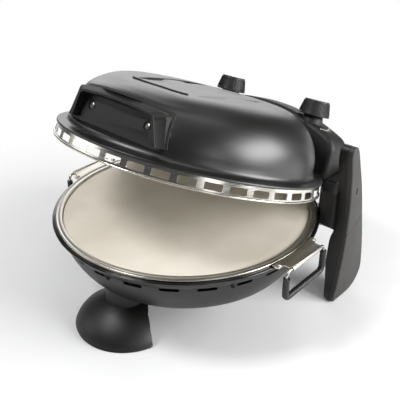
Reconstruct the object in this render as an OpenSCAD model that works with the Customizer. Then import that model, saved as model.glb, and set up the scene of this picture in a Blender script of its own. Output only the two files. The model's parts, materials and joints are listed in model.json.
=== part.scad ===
// Electric pizza maker: a round bowl-shaped base with a baking stone, a domed lid hinged at the back,
// two tall side arms that serve as back legs, and a bell-shaped front foot.
// The lid is drawn raised by lid_open degrees. Heights are measured from the standing surface.

/* [Base] */
// Height of the stone tray's rim above the standing surface
rim_h = 120; // [112:1:140]
// Outer radius of the stone tray
tray_r = 163.5; // [160:0.5:168]
// Width of the black rim that shows round the tray
rim_w = 4.1; // [3.6:0.1:6]
// Radius of the bowl just under the skirt
bowl_r = 158.5; // [157.5:0.1:159.5]
// Radius of the bowl wall's curve
bowl_curve_r = 98; // [90:1:110]
// Angle at which the bowl's curve ends
bowl_curve_end = 40; // [36:1:44]
// Radius of the bowl's bottom edge
bowl_edge_r = 10; // [6:1:12]
// Thickness of the bowl's sheet
bowl_wall = 1.2; // [0.9:0.1:1.6]
// Number of vent slots round the bowl
vent_count = 24; // [12:1:26]
// Length of a vent slot
vent_len = 22; // [14:1:24]
// Height of a vent slot
vent_h = 4.4; // [3:0.1:5]
// Number of screws that hold the skirt
skirt_screws = 7; // [5:1:8]

/* [Stone and tray] */
// Radius of the baking stone
stone_r = 154.6; // [150:0.1:154.8]
// Thickness of the baking stone
stone_t = 12; // [10:0.5:13]
// Gap between the stone and the tray's wall
stone_gap = 0.7; // [0.3:0.1:1]
// Thickness of the tray's sheet
tray_wall = 1.2; // [0.8:0.1:1.4]
// Depth of the stone's top below the tray's rim
stone_drop = 2.2; // [1:0.1:3]
// Radius of the opening under the stone
tray_hole_r = 140; // [125:1:146]
// Half width of a handle tab at its outer edge
tab_half = 30; // [24:1:34]
// Reach of the handle tabs beyond the tray
tab_reach = 16.5; // [13:0.5:20]
// Angle of the right tab away from straight across
right_tab_turn = 1.5; // [0:0.5:6]
// Angle of the left tab away from straight across
left_tab_turn = 4.5; // [0:0.5:6]
// Radius of the bails' wire
bail_wire_r = 1.6; // [1.2:0.1:2]
// Radius of the bails' heat sleeve
bail_sleeve_r = 3.9; // [3:0.1:4.5]
// Height of a hanging bail
bail_drop = 35; // [28:1:40]

/* [Lid] */
// Angle by which the lid is drawn raised
lid_open = 20.5; // [15:0.5:40]
// Radius of the lid's wall at its foot
dome_r = 149.6; // [148:0.1:152]
// Radius of the lid's rounded shoulder
shoulder_r = 61.5; // [55:0.5:66]
// Height of the lid's top edge above the tray's rim
dome_h = 88.6; // [86:0.1:94]
// Rise of the lid's crown above its top edge
crown = 1.2; // [0.6:0.1:3]
// Thickness of the lid's steel sheet
dome_wall = 1; // [0.8:0.1:1.4]
// Radius of the lid's rolled flange
flange_r = 163.4; // [162.5:0.1:166]
// Height of the slotted band
band_h = 15; // [13:0.5:17]
// Number of slots round the band
slot_count = 38; // [24:1:40]
// Length of a band slot
slot_len = 19.5; // [12:0.5:20]
// Height of a band slot
slot_h = 7.6; // [5:0.1:8.5]

/* [Handle] */
// Half width of the front handle
handle_half = 78.5; // [75:0.5:81]
// Half width of the handle's finger recess
recess_half = 59; // [52:1:64]
// Distance from the handle's screws to the middle
handle_screw_x = 44.5; // [36:0.5:48]

/* [Rear housing and knobs] */
// Half width of the rear housing
housing_half = 120; // [118:0.5:121]
// Wall of the rear housing
housing_wall = 2.5; // [2:0.1:3]
// Radius of the housing's arched top
housing_arch_r = 271; // [255:1:290]
// Distance of each knob from the middle
knob_x = 70.8; // [64:0.1:76]
// Radius of a knob at its foot
knob_r = 20.5; // [18:0.5:22]
// Radius of a knob at its top
knob_top_r = 16; // [14:0.5:17]
// Height of a knob
knob_h = 19.5; // [16:0.5:24]

/* [Hinge, arms and foot] */
// Distance of the hinge behind the base's middle
hinge_y = 168; // [166:0.5:169]
// Height of the hinge above the tray's rim
hinge_up = 20; // [19.5:0.1:22]
// Radius of the hinge pins
pin_r = 3.5; // [3:0.1:4]
// Outer face of the arms, from the middle
arm_out = 172; // [170:0.5:178]
// Thickness of an arm's outer cover
cover_t = 6.6; // [5:0.1:8]
// Radius of the front foot at the standing surface
foot_r = 64; // [58:0.5:68]
// Height that the foot's bell would reach without its neck
foot_bell_h = 40; // [36:1:44]
// Radius of the foot's neck
neck_r = 24; // [20:0.5:27]
// Wall of the front foot
foot_wall = 3; // [2.4:0.1:3.6]
// Height of the rubber pads
pad_h = 1.5; // [1:0.1:2.5]

/* [Hidden] */
$fn = 96;

// General clearances
seat_gap = 0.15;      // between a piece and the seat that carries it
run_gap = 0.05;       // between a pin and its bore, on the radius
eps = 0.01;

// Base, heights measured down from the tray's rim
rim_r = tray_r + rim_w;
rim_top = -2.8;
rim_t = 2.4;
rim_in_r = stone_r + stone_gap + tray_wall + 0.8;
skirt_top = rim_top - rim_t;
skirt_bottom = skirt_top - 9.4;
skirt_r = rim_r - 2;
curve_start = 12;     // degrees below level where the bowl's curve starts
curve_x = bowl_r - bowl_curve_r * cos(curve_start);
curve_z = skirt_bottom - 0.4 + bowl_curve_r * sin(curve_start);
edge_x = curve_x + (bowl_curve_r - bowl_edge_r) * cos(bowl_curve_end);
edge_z = curve_z - (bowl_curve_r - bowl_edge_r) * sin(bowl_curve_end);
bowl_bottom = edge_z - bowl_edge_r;
vent_z = skirt_bottom - 1.1 - vent_h / 2;
vent_phase = 7.1;
screw_phase = 11;
bracket_turn = 43;    // degrees from straight across to the middle of a bracket

// Stone and tray
stone_top = -stone_drop;
stone_bottom = stone_top - stone_t;
ledge_top = stone_bottom;
tray_bottom = ledge_top - tray_wall;
tray_in_r = stone_r + stone_gap;
lug_half = tab_half + 8;
bail_x = tray_r + tab_reach;
bail_z = -2;
bail_half = tab_half + 7;
roll_r = bail_wire_r + 1.5;

// Reflector and lower element
reflector_lip_r = bowl_r - 3.5;
reflector_lip = tray_bottom - 0.3;
reflector_floor_r = 124;
reflector_wall_r = 143;
reflector_floor = reflector_lip - 22;
reflector_t = 0.8;
element_r = 108;
element_tube_r = 3.3;
element_z = reflector_floor + 12;
element_gap_turn = 15;
cold_r = element_tube_r + 0.9;
post_r = 4;
post_ring_r = 90;
floor_z = bowl_bottom + bowl_wall;

// Lid, heights measured from the tray's rim with the lid closed
band_foot_r = flange_r + 0.2;
band_top_r = flange_r - 2;
band_bottom = 1;
band_t = 1;
band_top = band_bottom + band_h;
wall_draft = 3.5;
shoulder_x = dome_r - shoulder_r * cos(wall_draft) - 0.4;
shoulder_z = dome_h - shoulder_r;
slot_phase = 3.2;
slot_z = band_bottom + band_h * 0.5;
liner_t = 0.8;
liner_top = 50;
liner_r = 104;
upper_ring_r = 85;
upper_ring_z = liner_top - 18;
dome_lead_z = 60;
lead_x = upper_ring_r * sin(element_gap_turn);
lead_start = upper_ring_r * cos(element_gap_turn) + cold_r + seat_gap;
lead_turn_y = 150;

// Handle
handle_bottom = 26.5;
handle_top = 71.5;
pocket_low_y = -128.5;
pocket_high_y = -121;
panel_t = 3.8;
lip_y = -138.3;
lip_half = 69.5;
lip_top = 64.5;
leg_low = 30.5;
recess_top = 58;
handle_gap = 0.2;
handle_slope = (pocket_high_y - pocket_low_y) / (handle_top - handle_bottom);
handle_screw_z = 46;

// Rear housing
housing_front = 126;
housing_back = 180;
housing_low = 12;
housing_high = 89;
bottom_t = 3;
knob_y = 141;
knob_foot = 86.2;
knob_dish_r = 14;
knob_dish_h = 4.2;
shaft_r = 3;
boss_top = knob_foot - 1;
boss_r = 12.5;
nut_h = 2.6;
control_r = 15;
control_low = 56;
control_high = 71;
cap_r = knob_top_r - 1.6;
cap_t = 0.8;

// Hinge, brackets and arms
cheek_in = housing_half + 4;
cheek_out = cheek_in + 14;
arm_in = 151;
core_out = arm_out - cover_t;
lug_out = housing_half - housing_wall - 8;
lug_in = lug_out - 9.5;
hub_r = pin_r + 3.7;
washer_r = 8.5;
bracket_top = 30;
bracket_low = -24;
arm_screw_y = 113;
seam_gap = 0.6;

// Foot
foot_y = -108;
foot_floor = -rim_h + pad_h;
foot_back = -123;
bell_end = acos(pow(neck_r / foot_r, 0.8));
foot_screw_x = 11;

// Room that the whole part takes, to centre it on the frame's origin
raised = lid_open;
back_round = 22;
back_corner_y = housing_back - back_round - hinge_y;
back_corner_z = housing_high - back_round - 2 - hinge_up;
back_reach = hinge_y + back_corner_y * cos(raised) + back_corner_z * sin(raised) + back_round;
front_reach = -foot_y + foot_r;
shift_y = (front_reach - back_reach) / 2;
function bail_reach(turn) = bail_x * cos(turn) + bail_half * sin(turn) + bail_sleeve_r;
shift_x = (bail_reach(left_tab_turn) - bail_reach(right_tab_turn)) / 2;

// ---------- helpers ----------
function arc(cx, cz, r, a, b, n) = [for (i = [0:n]) [cx + r * cos(a + (b - a) * i / n),
                                                     cz + r * sin(a + (b - a) * i / n)]];

module at_base() translate([shift_x, shift_y, rim_h]) children();

module at_lid() at_base() translate([0, hinge_y, hinge_up]) rotate([-lid_open, 0, 0])
  translate([0, -hinge_y, -hinge_up]) children();

module ring(r_out, r_in, h) difference() {
  cylinder(r = r_out, h = h);
  translate([0, 0, -1]) cylinder(r = r_in, h = h + 2);
}

// A plate drawn in y and z, from x0 to x1
module side_plate(x0, x1) translate([x0, 0, 0]) rotate([90, 0, 90]) linear_extrude(x1 - x0) children();

// A plate drawn in x and z, from y0 to y1
module front_plate(y0, y1) translate([0, y1, 0]) rotate([90, 0, 0]) linear_extrude(y1 - y0) children();

module both_sides() {
  children();
  mirror([1, 0, 0]) children();
}

// The right-hand form, or its mirror image on the left
module on_side(left) {
  if (left) mirror([1, 0, 0]) children();
  else children();
}

module rod_x(x0, x1, r) translate([x0, 0, 0]) rotate([0, 90, 0]) cylinder(r = r, h = x1 - x0);

// ---------- base ----------
module bowl_solid(grow) rotate_extrude() polygon(concat(
  [[0, bowl_bottom - grow]],
  arc(edge_x, edge_z, bowl_edge_r + grow, -90, -bowl_curve_end, 8),
  arc(curve_x, curve_z, bowl_curve_r + grow, -bowl_curve_end, -curve_start, 14),
  [[bowl_r + 1 + grow, skirt_bottom], [skirt_r + grow, skirt_top - 1.4], [skirt_r + grow, skirt_top],
   [0, skirt_top]]));

module vent_cuts() for (i = [0:vent_count - 1]) {
  turn = vent_phase + i * 360 / vent_count;
  near_screw = min([for (k = [0:skirt_screws])
    abs((turn - screw_phase - k * 360 / skirt_screws + 540) % 360 - 180)]);
  near_bracket = min(abs(abs(turn > 180 ? turn - 360 : turn) - 90 - bracket_turn), 90);
  if (near_screw > 5.6 && near_bracket > 14)
    rotate([0, 0, turn - 90]) translate([bowl_r - 12, -vent_len / 2, vent_z - vent_h / 2])
      cube([20, vent_len, vent_h]);
}

module base_shell() color("#2b2a28") at_base() difference() {
  bowl_solid(0);
  difference() {
    bowl_solid(-bowl_wall);
    translate([0, 0, skirt_top - 1.2]) ring(skirt_r + 2, rim_in_r, 3);
  }
  translate([0, 0, skirt_top - 3]) cylinder(r = rim_in_r, h = 6);
  vent_cuts();
  skirt_screw_holes(1.7);
  bracket_screw_axes() rod_x(140, 175, 2.2);
  foot_screw_axes() translate([0, 0, bowl_bottom - 1]) cylinder(r = 2.2, h = 5);
  gland_axis() translate([0, 0, -20]) cylinder(r = gland_r + seat_gap, h = 40);
}

module skirt_screw_places() for (k = [0:skirt_screws - 1])
  rotate([0, 0, screw_phase + k * 360 / skirt_screws - 90]) children();

module skirt_screw_holes(r) skirt_screw_places()
  translate([0, 0, vent_z]) rod_x(bowl_r - 6, bowl_r + 6, r);

module skirt_screws() color("#8f8d88") at_base() skirt_screw_places() translate([0, 0, vent_z]) {
  rod_x(bowl_r - 5, bowl_r + 0.2, 1.6);
  translate([bowl_r + 0.1, 0, 0]) difference() {
    rod_x(0, 1.6, 2.9);
    translate([0.8, -0.4, -4]) cube([2, 0.8, 8]);
  }
}

module base_rim() color("#111111") at_base() rotate_extrude() polygon(concat(
  [[rim_in_r, skirt_top], [rim_r - 0.8, skirt_top]],
  arc(rim_r - rim_t / 2, skirt_top + rim_t / 2, rim_t / 2, -70, 90, 8),
  [[rim_in_r, rim_top]]));

module base_reflector() color("#b9b7b2") at_base() difference() {
  union() {
    rotate_extrude() polygon([
      [0, reflector_floor], [reflector_floor_r, reflector_floor], [reflector_wall_r, reflector_lip],
      [reflector_lip_r, reflector_lip], [reflector_lip_r, reflector_lip - reflector_t],
      [reflector_wall_r + 0.5, reflector_lip - reflector_t],
      [reflector_floor_r + 0.4, reflector_floor - reflector_t], [0, reflector_floor - reflector_t]]);
    skirt_screw_places() translate([reflector_lip_r - 1.2, -5, reflector_lip - 7]) cube([1, 10, 7]);
  }
  skirt_screw_places() translate([0, 0, vent_z]) rod_x(reflector_lip_r - 3, reflector_lip_r + 1, 1.65);
  post_places() translate([0, 0, reflector_floor - 3]) cylinder(r = 2.2, h = 6);
  cold_end_places() translate([0, 0, reflector_floor - 4]) cylinder(r = cold_r + 0.6, h = 8);
}

module post_places() for (k = [0:3]) rotate([0, 0, 45 + 90 * k]) translate([post_ring_r, 0, 0]) children();

module reflector_posts() color("#9a9893") at_base() post_places() difference() {
  translate([0, 0, floor_z]) cylinder(r = post_r, h = reflector_floor - reflector_t - floor_z);
  translate([0, 0, reflector_floor - reflector_t - 9]) cylinder(r = 1.7, h = 12);
}

module reflector_screws() color("#8f8d88") at_base() post_places() {
  translate([0, 0, reflector_floor - reflector_t - 8]) cylinder(r = 1.65, h = 9);
  translate([0, 0, reflector_floor]) cylinder(r = 3.4, h = 1.8);
}

module cold_end_places() for (s = [-1, 1]) rotate([0, 0, 90 + s * element_gap_turn])
  translate([element_r, 0, 0]) children();

module heating_ring(r, z, cold_top, cold_bottom) {
  translate([0, 0, z]) rotate([0, 0, 90 + element_gap_turn])
    rotate_extrude(angle = 360 - 2 * element_gap_turn) translate([r, 0]) circle(r = element_tube_r, $fn = 40);
  for (s = [-1, 1]) rotate([0, 0, 90 + s * element_gap_turn]) translate([r, 0, 0]) {
    translate([0, 0, cold_bottom]) cylinder(r = cold_r, h = cold_top - cold_bottom, $fn = 40);
  }
}

module lower_element() color("#5d5550") at_base()
  heating_ring(element_r, element_z, element_z + cold_r, floor_z + 12);

module lower_element_saddles() color("#9a9893") at_base() for (k = [0:2]) rotate([0, 0, 120 * k - 90])
  difference() {
    translate([element_r - 5, -3, reflector_floor]) cube([10, 6, element_z - reflector_floor]);
    translate([0, 0, element_z]) rotate_extrude() translate([element_r, 0])
      circle(r = element_tube_r + run_gap, $fn = 40);
  }

gland_r = 8;
gland_z = -36;
module gland_axis() translate([0, bowl_r - 12, gland_z]) rotate([-90, 0, 0]) children();

module cord_gland() color("#1b1b1b") at_base() gland_axis() difference() {
  union() {
    translate([0, 0, -4]) cylinder(r = gland_r, h = 18);
    translate([0, 0, 9.6]) cylinder(r = gland_r + 2.5, h = 4.4);
  }
  translate([0, 0, -6]) cylinder(r = 3.7, h = 24);
}

block_half = 18;
block_y = element_r * cos(element_gap_turn);
block_top = floor_z + 16;
module terminal_block() color("#d8d2c4") at_base() difference() {
  translate([-block_half, block_y - 8, floor_z]) cube([2 * block_half, 16, 16]);
  for (x = [-12, 0, 12]) translate([x, block_y, block_top - 6]) cylinder(r = 2.4, h = 8);
}

module base_leads() color("#c8c2b2") at_base() both_sides() translate([0, block_y, block_top - 3])
  rod_x(block_half, element_r * sin(element_gap_turn) - cold_r - seat_gap, 1.6);

// ---------- stone, tray and bails ----------
module baking_stone() color("#e8e0d2") at_base() translate([0, 0, stone_bottom])
  rotate_extrude() polygon([[0, 0], [stone_r - 1, 0], [stone_r, 1], [stone_r, stone_t - 1.6],
    [stone_r - 0.5, stone_t - 0.5], [stone_r - 1.6, stone_t], [0, stone_t]]);

module tab_turns(right) rotate([0, 0, right ? right_tab_turn : 180 + left_tab_turn]) children();

module stone_tray() color("#c4c1bb") at_base() {
  rotate_extrude() polygon([
    [tray_hole_r, tray_bottom], [tray_in_r + tray_wall, tray_bottom],
    [tray_in_r + tray_wall, -tray_wall], [tray_r - 2.4, -tray_wall],
    [tray_r - 1.6, rim_top], [tray_r - 0.4, rim_top], [tray_r, -1.4], [tray_r - 0.3, -0.4],
    [tray_r - 1, 0], [tray_r - 3.4, -0.5], [tray_r - 4.4, -0.5], [tray_r - 5.2, 0],
    [tray_in_r + 0.4, 0], [tray_in_r, -0.4], [tray_in_r, ledge_top], [tray_hole_r, ledge_top]]);
  for (right = [true, false]) tab_turns(right) difference() {
    translate([tray_r - 8, -lug_half, rim_top + seat_gap])
      cube([14, 2 * lug_half, -tray_wall - rim_top - seat_gap]);
    cylinder(r = tray_in_r + tray_wall / 2, h = 20, center = true);
    tab_rivet_places() cylinder(r = 1.6, h = 20, center = true);
  }
}

module tab_rivet_places() for (s = [-1, 1]) translate([tray_r + 2.6, s * (lug_half - 4), 0]) children();

module tray_tab(right) color("#a9a49b") at_base() tab_turns(right) difference() {
  union() {
    translate([0, 0, -tray_wall]) linear_extrude(tray_wall) polygon([
      [tray_r - 6, -lug_half], [tray_r + 5, -lug_half], [tray_r + 7.5, -tab_half], [bail_x, -tab_half],
      [bail_x, tab_half], [tray_r + 7.5, tab_half], [tray_r + 5, lug_half], [tray_r - 6, lug_half]]);
    translate([bail_x, -tab_half + 2, bail_z]) rotate([-90, 0, 0]) cylinder(r = roll_r, h = 2 * tab_half - 4);
  }
  cylinder(r = tray_r + seat_gap, h = 20, center = true);
  translate([bail_x, -tab_half - 1, bail_z]) rotate([-90, 0, 0])
    cylinder(r = bail_wire_r + run_gap, h = 2 * tab_half + 2);
  translate([bail_x - 2 * bail_wire_r - 3, -tab_half - 1, bail_z - roll_r - 1]) cube([1, 2, 2]);
  tab_rivet_places() cylinder(r = 1.6, h = 20, center = true);
}

module tray_tab_right() tray_tab(true);
module tray_tab_left() tray_tab(false);

module tab_rivets() color("#d9d6cf") at_base() for (right = [true, false]) tab_turns(right)
  tab_rivet_places() {
    translate([0, 0, rim_top + 0.3]) cylinder(r = 1.55, h = -rim_top - 0.3);
    intersection() {
      translate([0, 0, -2]) sphere(r = 3.6);
      cylinder(r = 3, h = 4);
    }
  }

// A bail's path, as rods with ball corners, for a rod radius r
module bail_path(r, top) translate([bail_x, 0, bail_z]) {
  for (s = [-1, 1]) {
    translate([0, s * bail_half, -bail_drop]) cylinder(r = r, h = bail_drop - top);
    translate([0, s * bail_half, -bail_drop]) sphere(r = r);
  }
  translate([0, -bail_half, -bail_drop]) rotate([-90, 0, 0]) cylinder(r = r, h = 2 * bail_half);
}

module bail_wire(right) color("#bdbab4") at_base() tab_turns(right) {
  bail_path(bail_wire_r, 0);
  for (s = [-1, 1]) translate([bail_x, s * bail_half, bail_z]) {
    sphere(r = bail_wire_r);
    rotate([90 * s, 0, 0]) cylinder(r = bail_wire_r, h = bail_half - tab_half + 12);
  }
}

module bail_sleeve(right) color("#1d1d1d") at_base() tab_turns(right) difference() {
  bail_path(bail_sleeve_r, 8);
  bail_path(bail_wire_r + run_gap, 0);
}

module bail_wire_right() bail_wire(true);
module bail_wire_left() bail_wire(false);
module bail_sleeve_right() bail_sleeve(true);
module bail_sleeve_left() bail_sleeve(false);

// ---------- front foot ----------
module foot_solid(grow) translate([0, foot_y, 0]) rotate_extrude() polygon(concat(
  [[0, foot_floor], [foot_r + grow, foot_floor]],
  [for (i = [1:12]) let (a = 6 + (bell_end - 6) * i / 12) [foot_r * pow(cos(a), 1.25) + grow,
                                                        foot_bell_h * pow(sin(a), 1.25) - rim_h + grow]],
  [[neck_r + grow, bowl_bottom - (grow < 0 ? 5 : 0)], [0, bowl_bottom - (grow < 0 ? 5 : 0)]]));

module foot_back_cut() side_plate(-foot_r - 9, foot_r + 9) polygon([
  [foot_back, foot_floor - 9], [foot_back, foot_floor], [foot_back + 1, foot_floor + 5],
  [foot_back + 6, foot_floor + 16], [foot_back + 15, foot_floor + 26], [foot_back + 24.5, foot_floor + 30.5],
  [foot_back + 42, foot_floor + 35], [foot_y + foot_r + 9, foot_floor + 35],
  [foot_y + foot_r + 9, foot_floor - 9]]);

module front_foot() color("#1e1d1b") at_base() difference() {
  foot_solid(0);
  foot_solid(-foot_wall);
  foot_back_cut();
  foot_screw_axes() translate([0, 0, bowl_bottom - 9]) cylinder(r = 1.7, h = 10);
}

module foot_screw_axes() for (s = [-1, 1]) translate([s * foot_screw_x, foot_y, 0]) children();

module foot_screws() color("#8f8d88") at_base() foot_screw_axes() {
  translate([0, 0, bowl_bottom - 4.5]) cylinder(r = 1.65, h = 4.5 + bowl_wall);
  translate([0, 0, floor_z]) cylinder(r = 4, h = 2.4);
}

module foot_pad() color("#101010") at_base() difference() {
  translate([0, foot_y, -rim_h]) ring(foot_r - 0.5, foot_r - foot_wall - 1.5, pad_h);
  translate([-foot_r - 1, foot_back - 1, -rim_h - 1]) cube([2 * foot_r + 2, 2 * foot_r, pad_h + 2]);
}

// ---------- hinge brackets and arms ----------
module bracket_screw_axes() both_sides() for (turn = [38, 45])
  rotate([0, 0, turn]) translate([0, 0, vent_z - 2.3]) children();

module hinge_bracket(left) color("#141414") at_base() on_side(left) difference() {
  union() {
    side_plate(cheek_in, arm_in + 3) polygon([[98, -16], [108, bracket_low], [130, bracket_low],
      [130, bracket_top - 4], [126, bracket_top], [98, bracket_top]]);
    side_plate(cheek_in, cheek_out) union() {
      polygon([[128, bracket_low], [142, bracket_low], [hinge_y + 4, hinge_up - 9],
        [hinge_y, hinge_up + 10], [128, bracket_top]]);
      translate([hinge_y, hinge_up]) circle(r = pin_r + 7);
    }
    side_plate(104, cheek_in + 1) polygon([[98, bracket_low], [134, bracket_low], [134, rim_top - 9],
      [98, rim_top - 9]]);
  }
  bowl_solid(seat_gap);
  translate([0, 0, skirt_top - 0.3]) cylinder(r = rim_r + seat_gap, h = 50);
  arm_core_solid(seat_gap);
  translate([0, hinge_y, hinge_up]) rod_x(100, 160, pin_r + run_gap);
  bracket_screw_axes() rod_x(140, 172, 2.1);
  arm_screw_places() rod_x(arm_in - 12, 200, 2.1);
}

module hinge_bracket_right() hinge_bracket(false);
module hinge_bracket_left() hinge_bracket(true);

module bracket_screws() color("#8f8d88") at_base() bracket_screw_axes() {
  rod_x(bowl_r - 5, 171, 2.05);
  rod_x(bowl_r - 7.6, bowl_r - 5, 3.2);
}

// Outline of an arm seen from the side, in y and z
module arm_outline(inset) polygon([
  [93 + inset, -rim_h + pad_h], [98 + inset, -92], [103 + inset, -62], [106 + inset, -30], [106 + inset, 15],
  [102 + inset, 55], [97 + inset, 84 - inset], [98.5 + inset, 93 - inset], [104, 96 - inset],
  [111 - inset, 91 - inset], [120 - inset, 66], [130 - inset, 36], [140 - inset, -5], [149 - inset, -45],
  [154 - inset, -76], [155 - inset, -92], [151 - inset, -103], [143 - inset, -112], [132 - inset, -117],
  [122, -rim_h + pad_h]]);

module arm_core_solid(grow) intersection() {
  side_plate(arm_in - 10 - grow, core_out) arm_outline(-grow);
  front_plate(80, 170) polygon([
    [core_out, -rim_h], [158.5 - grow, -rim_h], [arm_in - 2 - grow, -72], [arm_in - 2.5 - grow, -40],
    [arm_in + 2 - grow, -24], [arm_in + 2 - grow, 70], [arm_in + 4 - grow, 97], [core_out, 97]]);
}

module arm_screw_places() for (z = [-7, 18]) translate([0, arm_screw_y, z]) children();

module arm_core(left) color("#161514") at_base() on_side(left) difference() {
  arm_core_solid(0);
  arm_screw_places() {
    rod_x(arm_in - 10, core_out + 1, 2.1);
    rod_x(core_out - 4, core_out + 1, 4.4);
  }
}

module arm_core_right() arm_core(false);
module arm_core_left() arm_core(true);

module arm_screws() color("#8f8d88") at_base() both_sides() arm_screw_places() {
  rod_x(arm_in - 8, core_out - 4, 2.05);
  rod_x(core_out - 4, core_out - 0.6, 4.2);
}

// Region above or below the slanting seam of the outer covers
module seam_side(upper) side_plate(core_out - 1, arm_out + 1) polygon(upper
  ? [[80, -41.2 + seam_gap], [170, 11.2 + seam_gap], [170, 140], [80, 140]]
  : [[80, -41.2], [170, 11.2], [170, -rim_h - 5], [80, -rim_h - 5]]);

module arm_cover(upper, left) color("#35332f") at_base() on_side(left) difference() {
  intersection() {
    union() {
      side_plate(core_out, arm_out - 2) arm_outline(0);
      side_plate(arm_out - 2, arm_out - 0.8) arm_outline(0.8);
      side_plate(arm_out - 0.8, arm_out) arm_outline(2);
    }
    seam_side(upper);
  }
  if (upper) side_plate(arm_out - 3, arm_out + 1) translate([116, 30]) square([2.6, 9]);
}

module arm_upper_cover_right() arm_cover(true, false);
module arm_upper_cover_left() arm_cover(true, true);
module arm_lower_cover_right() arm_cover(false, false);
module arm_lower_cover_left() arm_cover(false, true);

module arm_pads() color("#101010") at_base() both_sides()
  translate([159.5, 95, -rim_h]) cube([arm_out - 161.5, 25, pad_h]);

module hinge_pins() color("#b5b3ad") at_base() both_sides() translate([0, hinge_y, hinge_up]) {
  rod_x(lug_in - 1, cheek_out - 1.5, pin_r);
  rod_x(cheek_out - 1.5 + 1.5 + seat_gap, cheek_out + 2.2, pin_r + 2);
  rod_x(cheek_out - 1.6, cheek_out + 1, pin_r);
}

module hinge_washers() color("#c9c7c1") at_base() both_sides() translate([0, hinge_y, hinge_up])
  difference() {
    rod_x(housing_half + 0.3, cheek_in - seat_gap, washer_r);
    rod_x(housing_half - 1, cheek_in + 1, pin_r + run_gap);
  }

// ---------- lid ----------
// Solid of the dome's outer form, grown by a margin, from the flange's underside up
module dome_solid(grow) rotate_extrude() polygon(concat(
  [[0, band_top + 0.2], [flange_r - 0.2 + grow, band_top + 0.2], [flange_r + grow, band_top + 1.4],
   [flange_r - 1 + grow, band_top + 2.8 + grow], [dome_r + 8 + grow, band_top + 3.6 + grow],
   [dome_r + 2.4 + grow, band_top + 5.2 + grow]],
  arc(shoulder_x, shoulder_z, shoulder_r + grow, wall_draft, 86, 22),
  [[shoulder_x * 0.75, dome_h + crown * 0.44 + grow], [shoulder_x * 0.4, dome_h + crown * 0.84 + grow],
   [0, dome_h + crown + grow]]));

// Room inside the dome's sheet
module dome_inside() rotate_extrude() polygon(concat(
  [[0, band_top - 1], [dome_r - 2, band_top - 1], [dome_r - 2, band_top + 1.2],
   [dome_r - dome_wall - 0.3, band_top + 5]],
  arc(shoulder_x, shoulder_z, shoulder_r - dome_wall, wall_draft, 86, 22),
  [[shoulder_x * 0.75, dome_h + crown * 0.44 - dome_wall],
   [shoulder_x * 0.4, dome_h + crown * 0.84 - dome_wall], [0, dome_h + crown - dome_wall]]));

// Outline of the handle on the dome, narrower at its top
module handle_outline(grow) polygon(concat(
  [[-handle_half - grow, handle_bottom - grow], [handle_half + grow, handle_bottom - grow]],
  arc(handle_half - 16, handle_top - 13, 9.2 + grow, 12, 78, 6), [[0, handle_top + grow]],
  arc(16 - handle_half, handle_top - 13, 9.2 + grow, 102, 168, 6)));

// Flat-backed pocket at the dome's front that takes the handle, widened by a margin
module handle_pocket(grow) intersection() {
  front_plate(-170, -100) handle_outline(handle_gap + grow);
  side_plate(-handle_half - 9, handle_half + 9) polygon([
    [pocket_y(handle_bottom - 5) + grow, handle_bottom - 5], [pocket_y(handle_top + 5) + grow, handle_top + 5],
    [-170, handle_top + 5], [-170, handle_bottom - 5]]);
}

module lid_dome() color("#23221f") at_lid() difference() {
  difference() {
    dome_solid(0);
    handle_pocket(0);
  }
  difference() {
    dome_inside();
    handle_pocket(dome_wall);
  }
  handle_screw_axes() cylinder(r = 2.3, h = 30, center = true);
  both_sides() translate([lead_x, dome_r - 22, dome_lead_z]) rotate([-90, 0, 0]) cylinder(r = 3, h = 30);
}

module plain_name_strip() color("#0e0e0d") at_lid() intersection() {
  difference() {
    dome_solid(0.8);
    dome_solid(0.05);
  }
  translate([-38, -88, dome_h - 20]) cube([76, 5, 40]);
}

module lid_band() color("#c9c6bf") at_lid() difference() {
  rotate_extrude() polygon([
    [band_foot_r - band_t, band_bottom + 2.2], [band_foot_r - 1.4, band_bottom + 1.4],
    [band_foot_r - 1.4, band_bottom + 0.6], [band_foot_r - 0.6, band_bottom],
    [band_foot_r + 0.3, band_bottom], [band_foot_r + 1, band_bottom + 0.7],
    [band_foot_r + 1, band_bottom + 1.5], [band_foot_r, band_bottom + 2.2],
    [band_top_r, band_top], [band_top_r - 5, band_top], [band_top_r - 5, band_top - band_t],
    [band_top_r - band_t, band_top - band_t]]);
  for (i = [0:slot_count - 1]) rotate([0, 0, slot_phase + i * 360 / slot_count - 90])
    translate([band_top_r - 4, -slot_len / 2, slot_z - slot_h / 2]) cube([10, slot_len, slot_h]);
}

liner_out_r = band_top_r - 5.4;
module lid_reflector() color("#b9b7b2") at_lid() difference() {
  rotate_extrude() polygon([
    [0, liner_top], [liner_r, liner_top], [118, 27], [dome_r - 3, band_top - liner_t],
    [liner_out_r, band_top - liner_t], [liner_out_r, band_top], [dome_r - 2.6, band_top],
    [118.6, 27 + liner_t], [liner_r + 0.4, liner_top + liner_t], [0, liner_top + liner_t]]);
  upper_cold_places() translate([0, 0, liner_top - 5]) cylinder(r = cold_r + 0.6, h = 10);
}

module upper_cold_places() for (s = [-1, 1]) rotate([0, 0, 90 + s * element_gap_turn])
  translate([upper_ring_r, 0, 0]) children();

module upper_element() color("#5d5550") at_lid()
  heating_ring(upper_ring_r, upper_ring_z, dome_lead_z + 3, upper_ring_z - cold_r);

module upper_element_hangers() color("#9a9893") at_lid() for (k = [0:2]) rotate([0, 0, 120 * k - 90])
  difference() {
    translate([upper_ring_r - 5, -3, upper_ring_z - 0.5]) cube([10, 6, liner_top - upper_ring_z + 0.5]);
    translate([0, 0, upper_ring_z]) rotate_extrude() translate([upper_ring_r, 0])
      circle(r = element_tube_r + run_gap, $fn = 40);
  }

// ---------- handle ----------
function pocket_y(z) = pocket_low_y + handle_slope * (z - handle_bottom);

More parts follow.
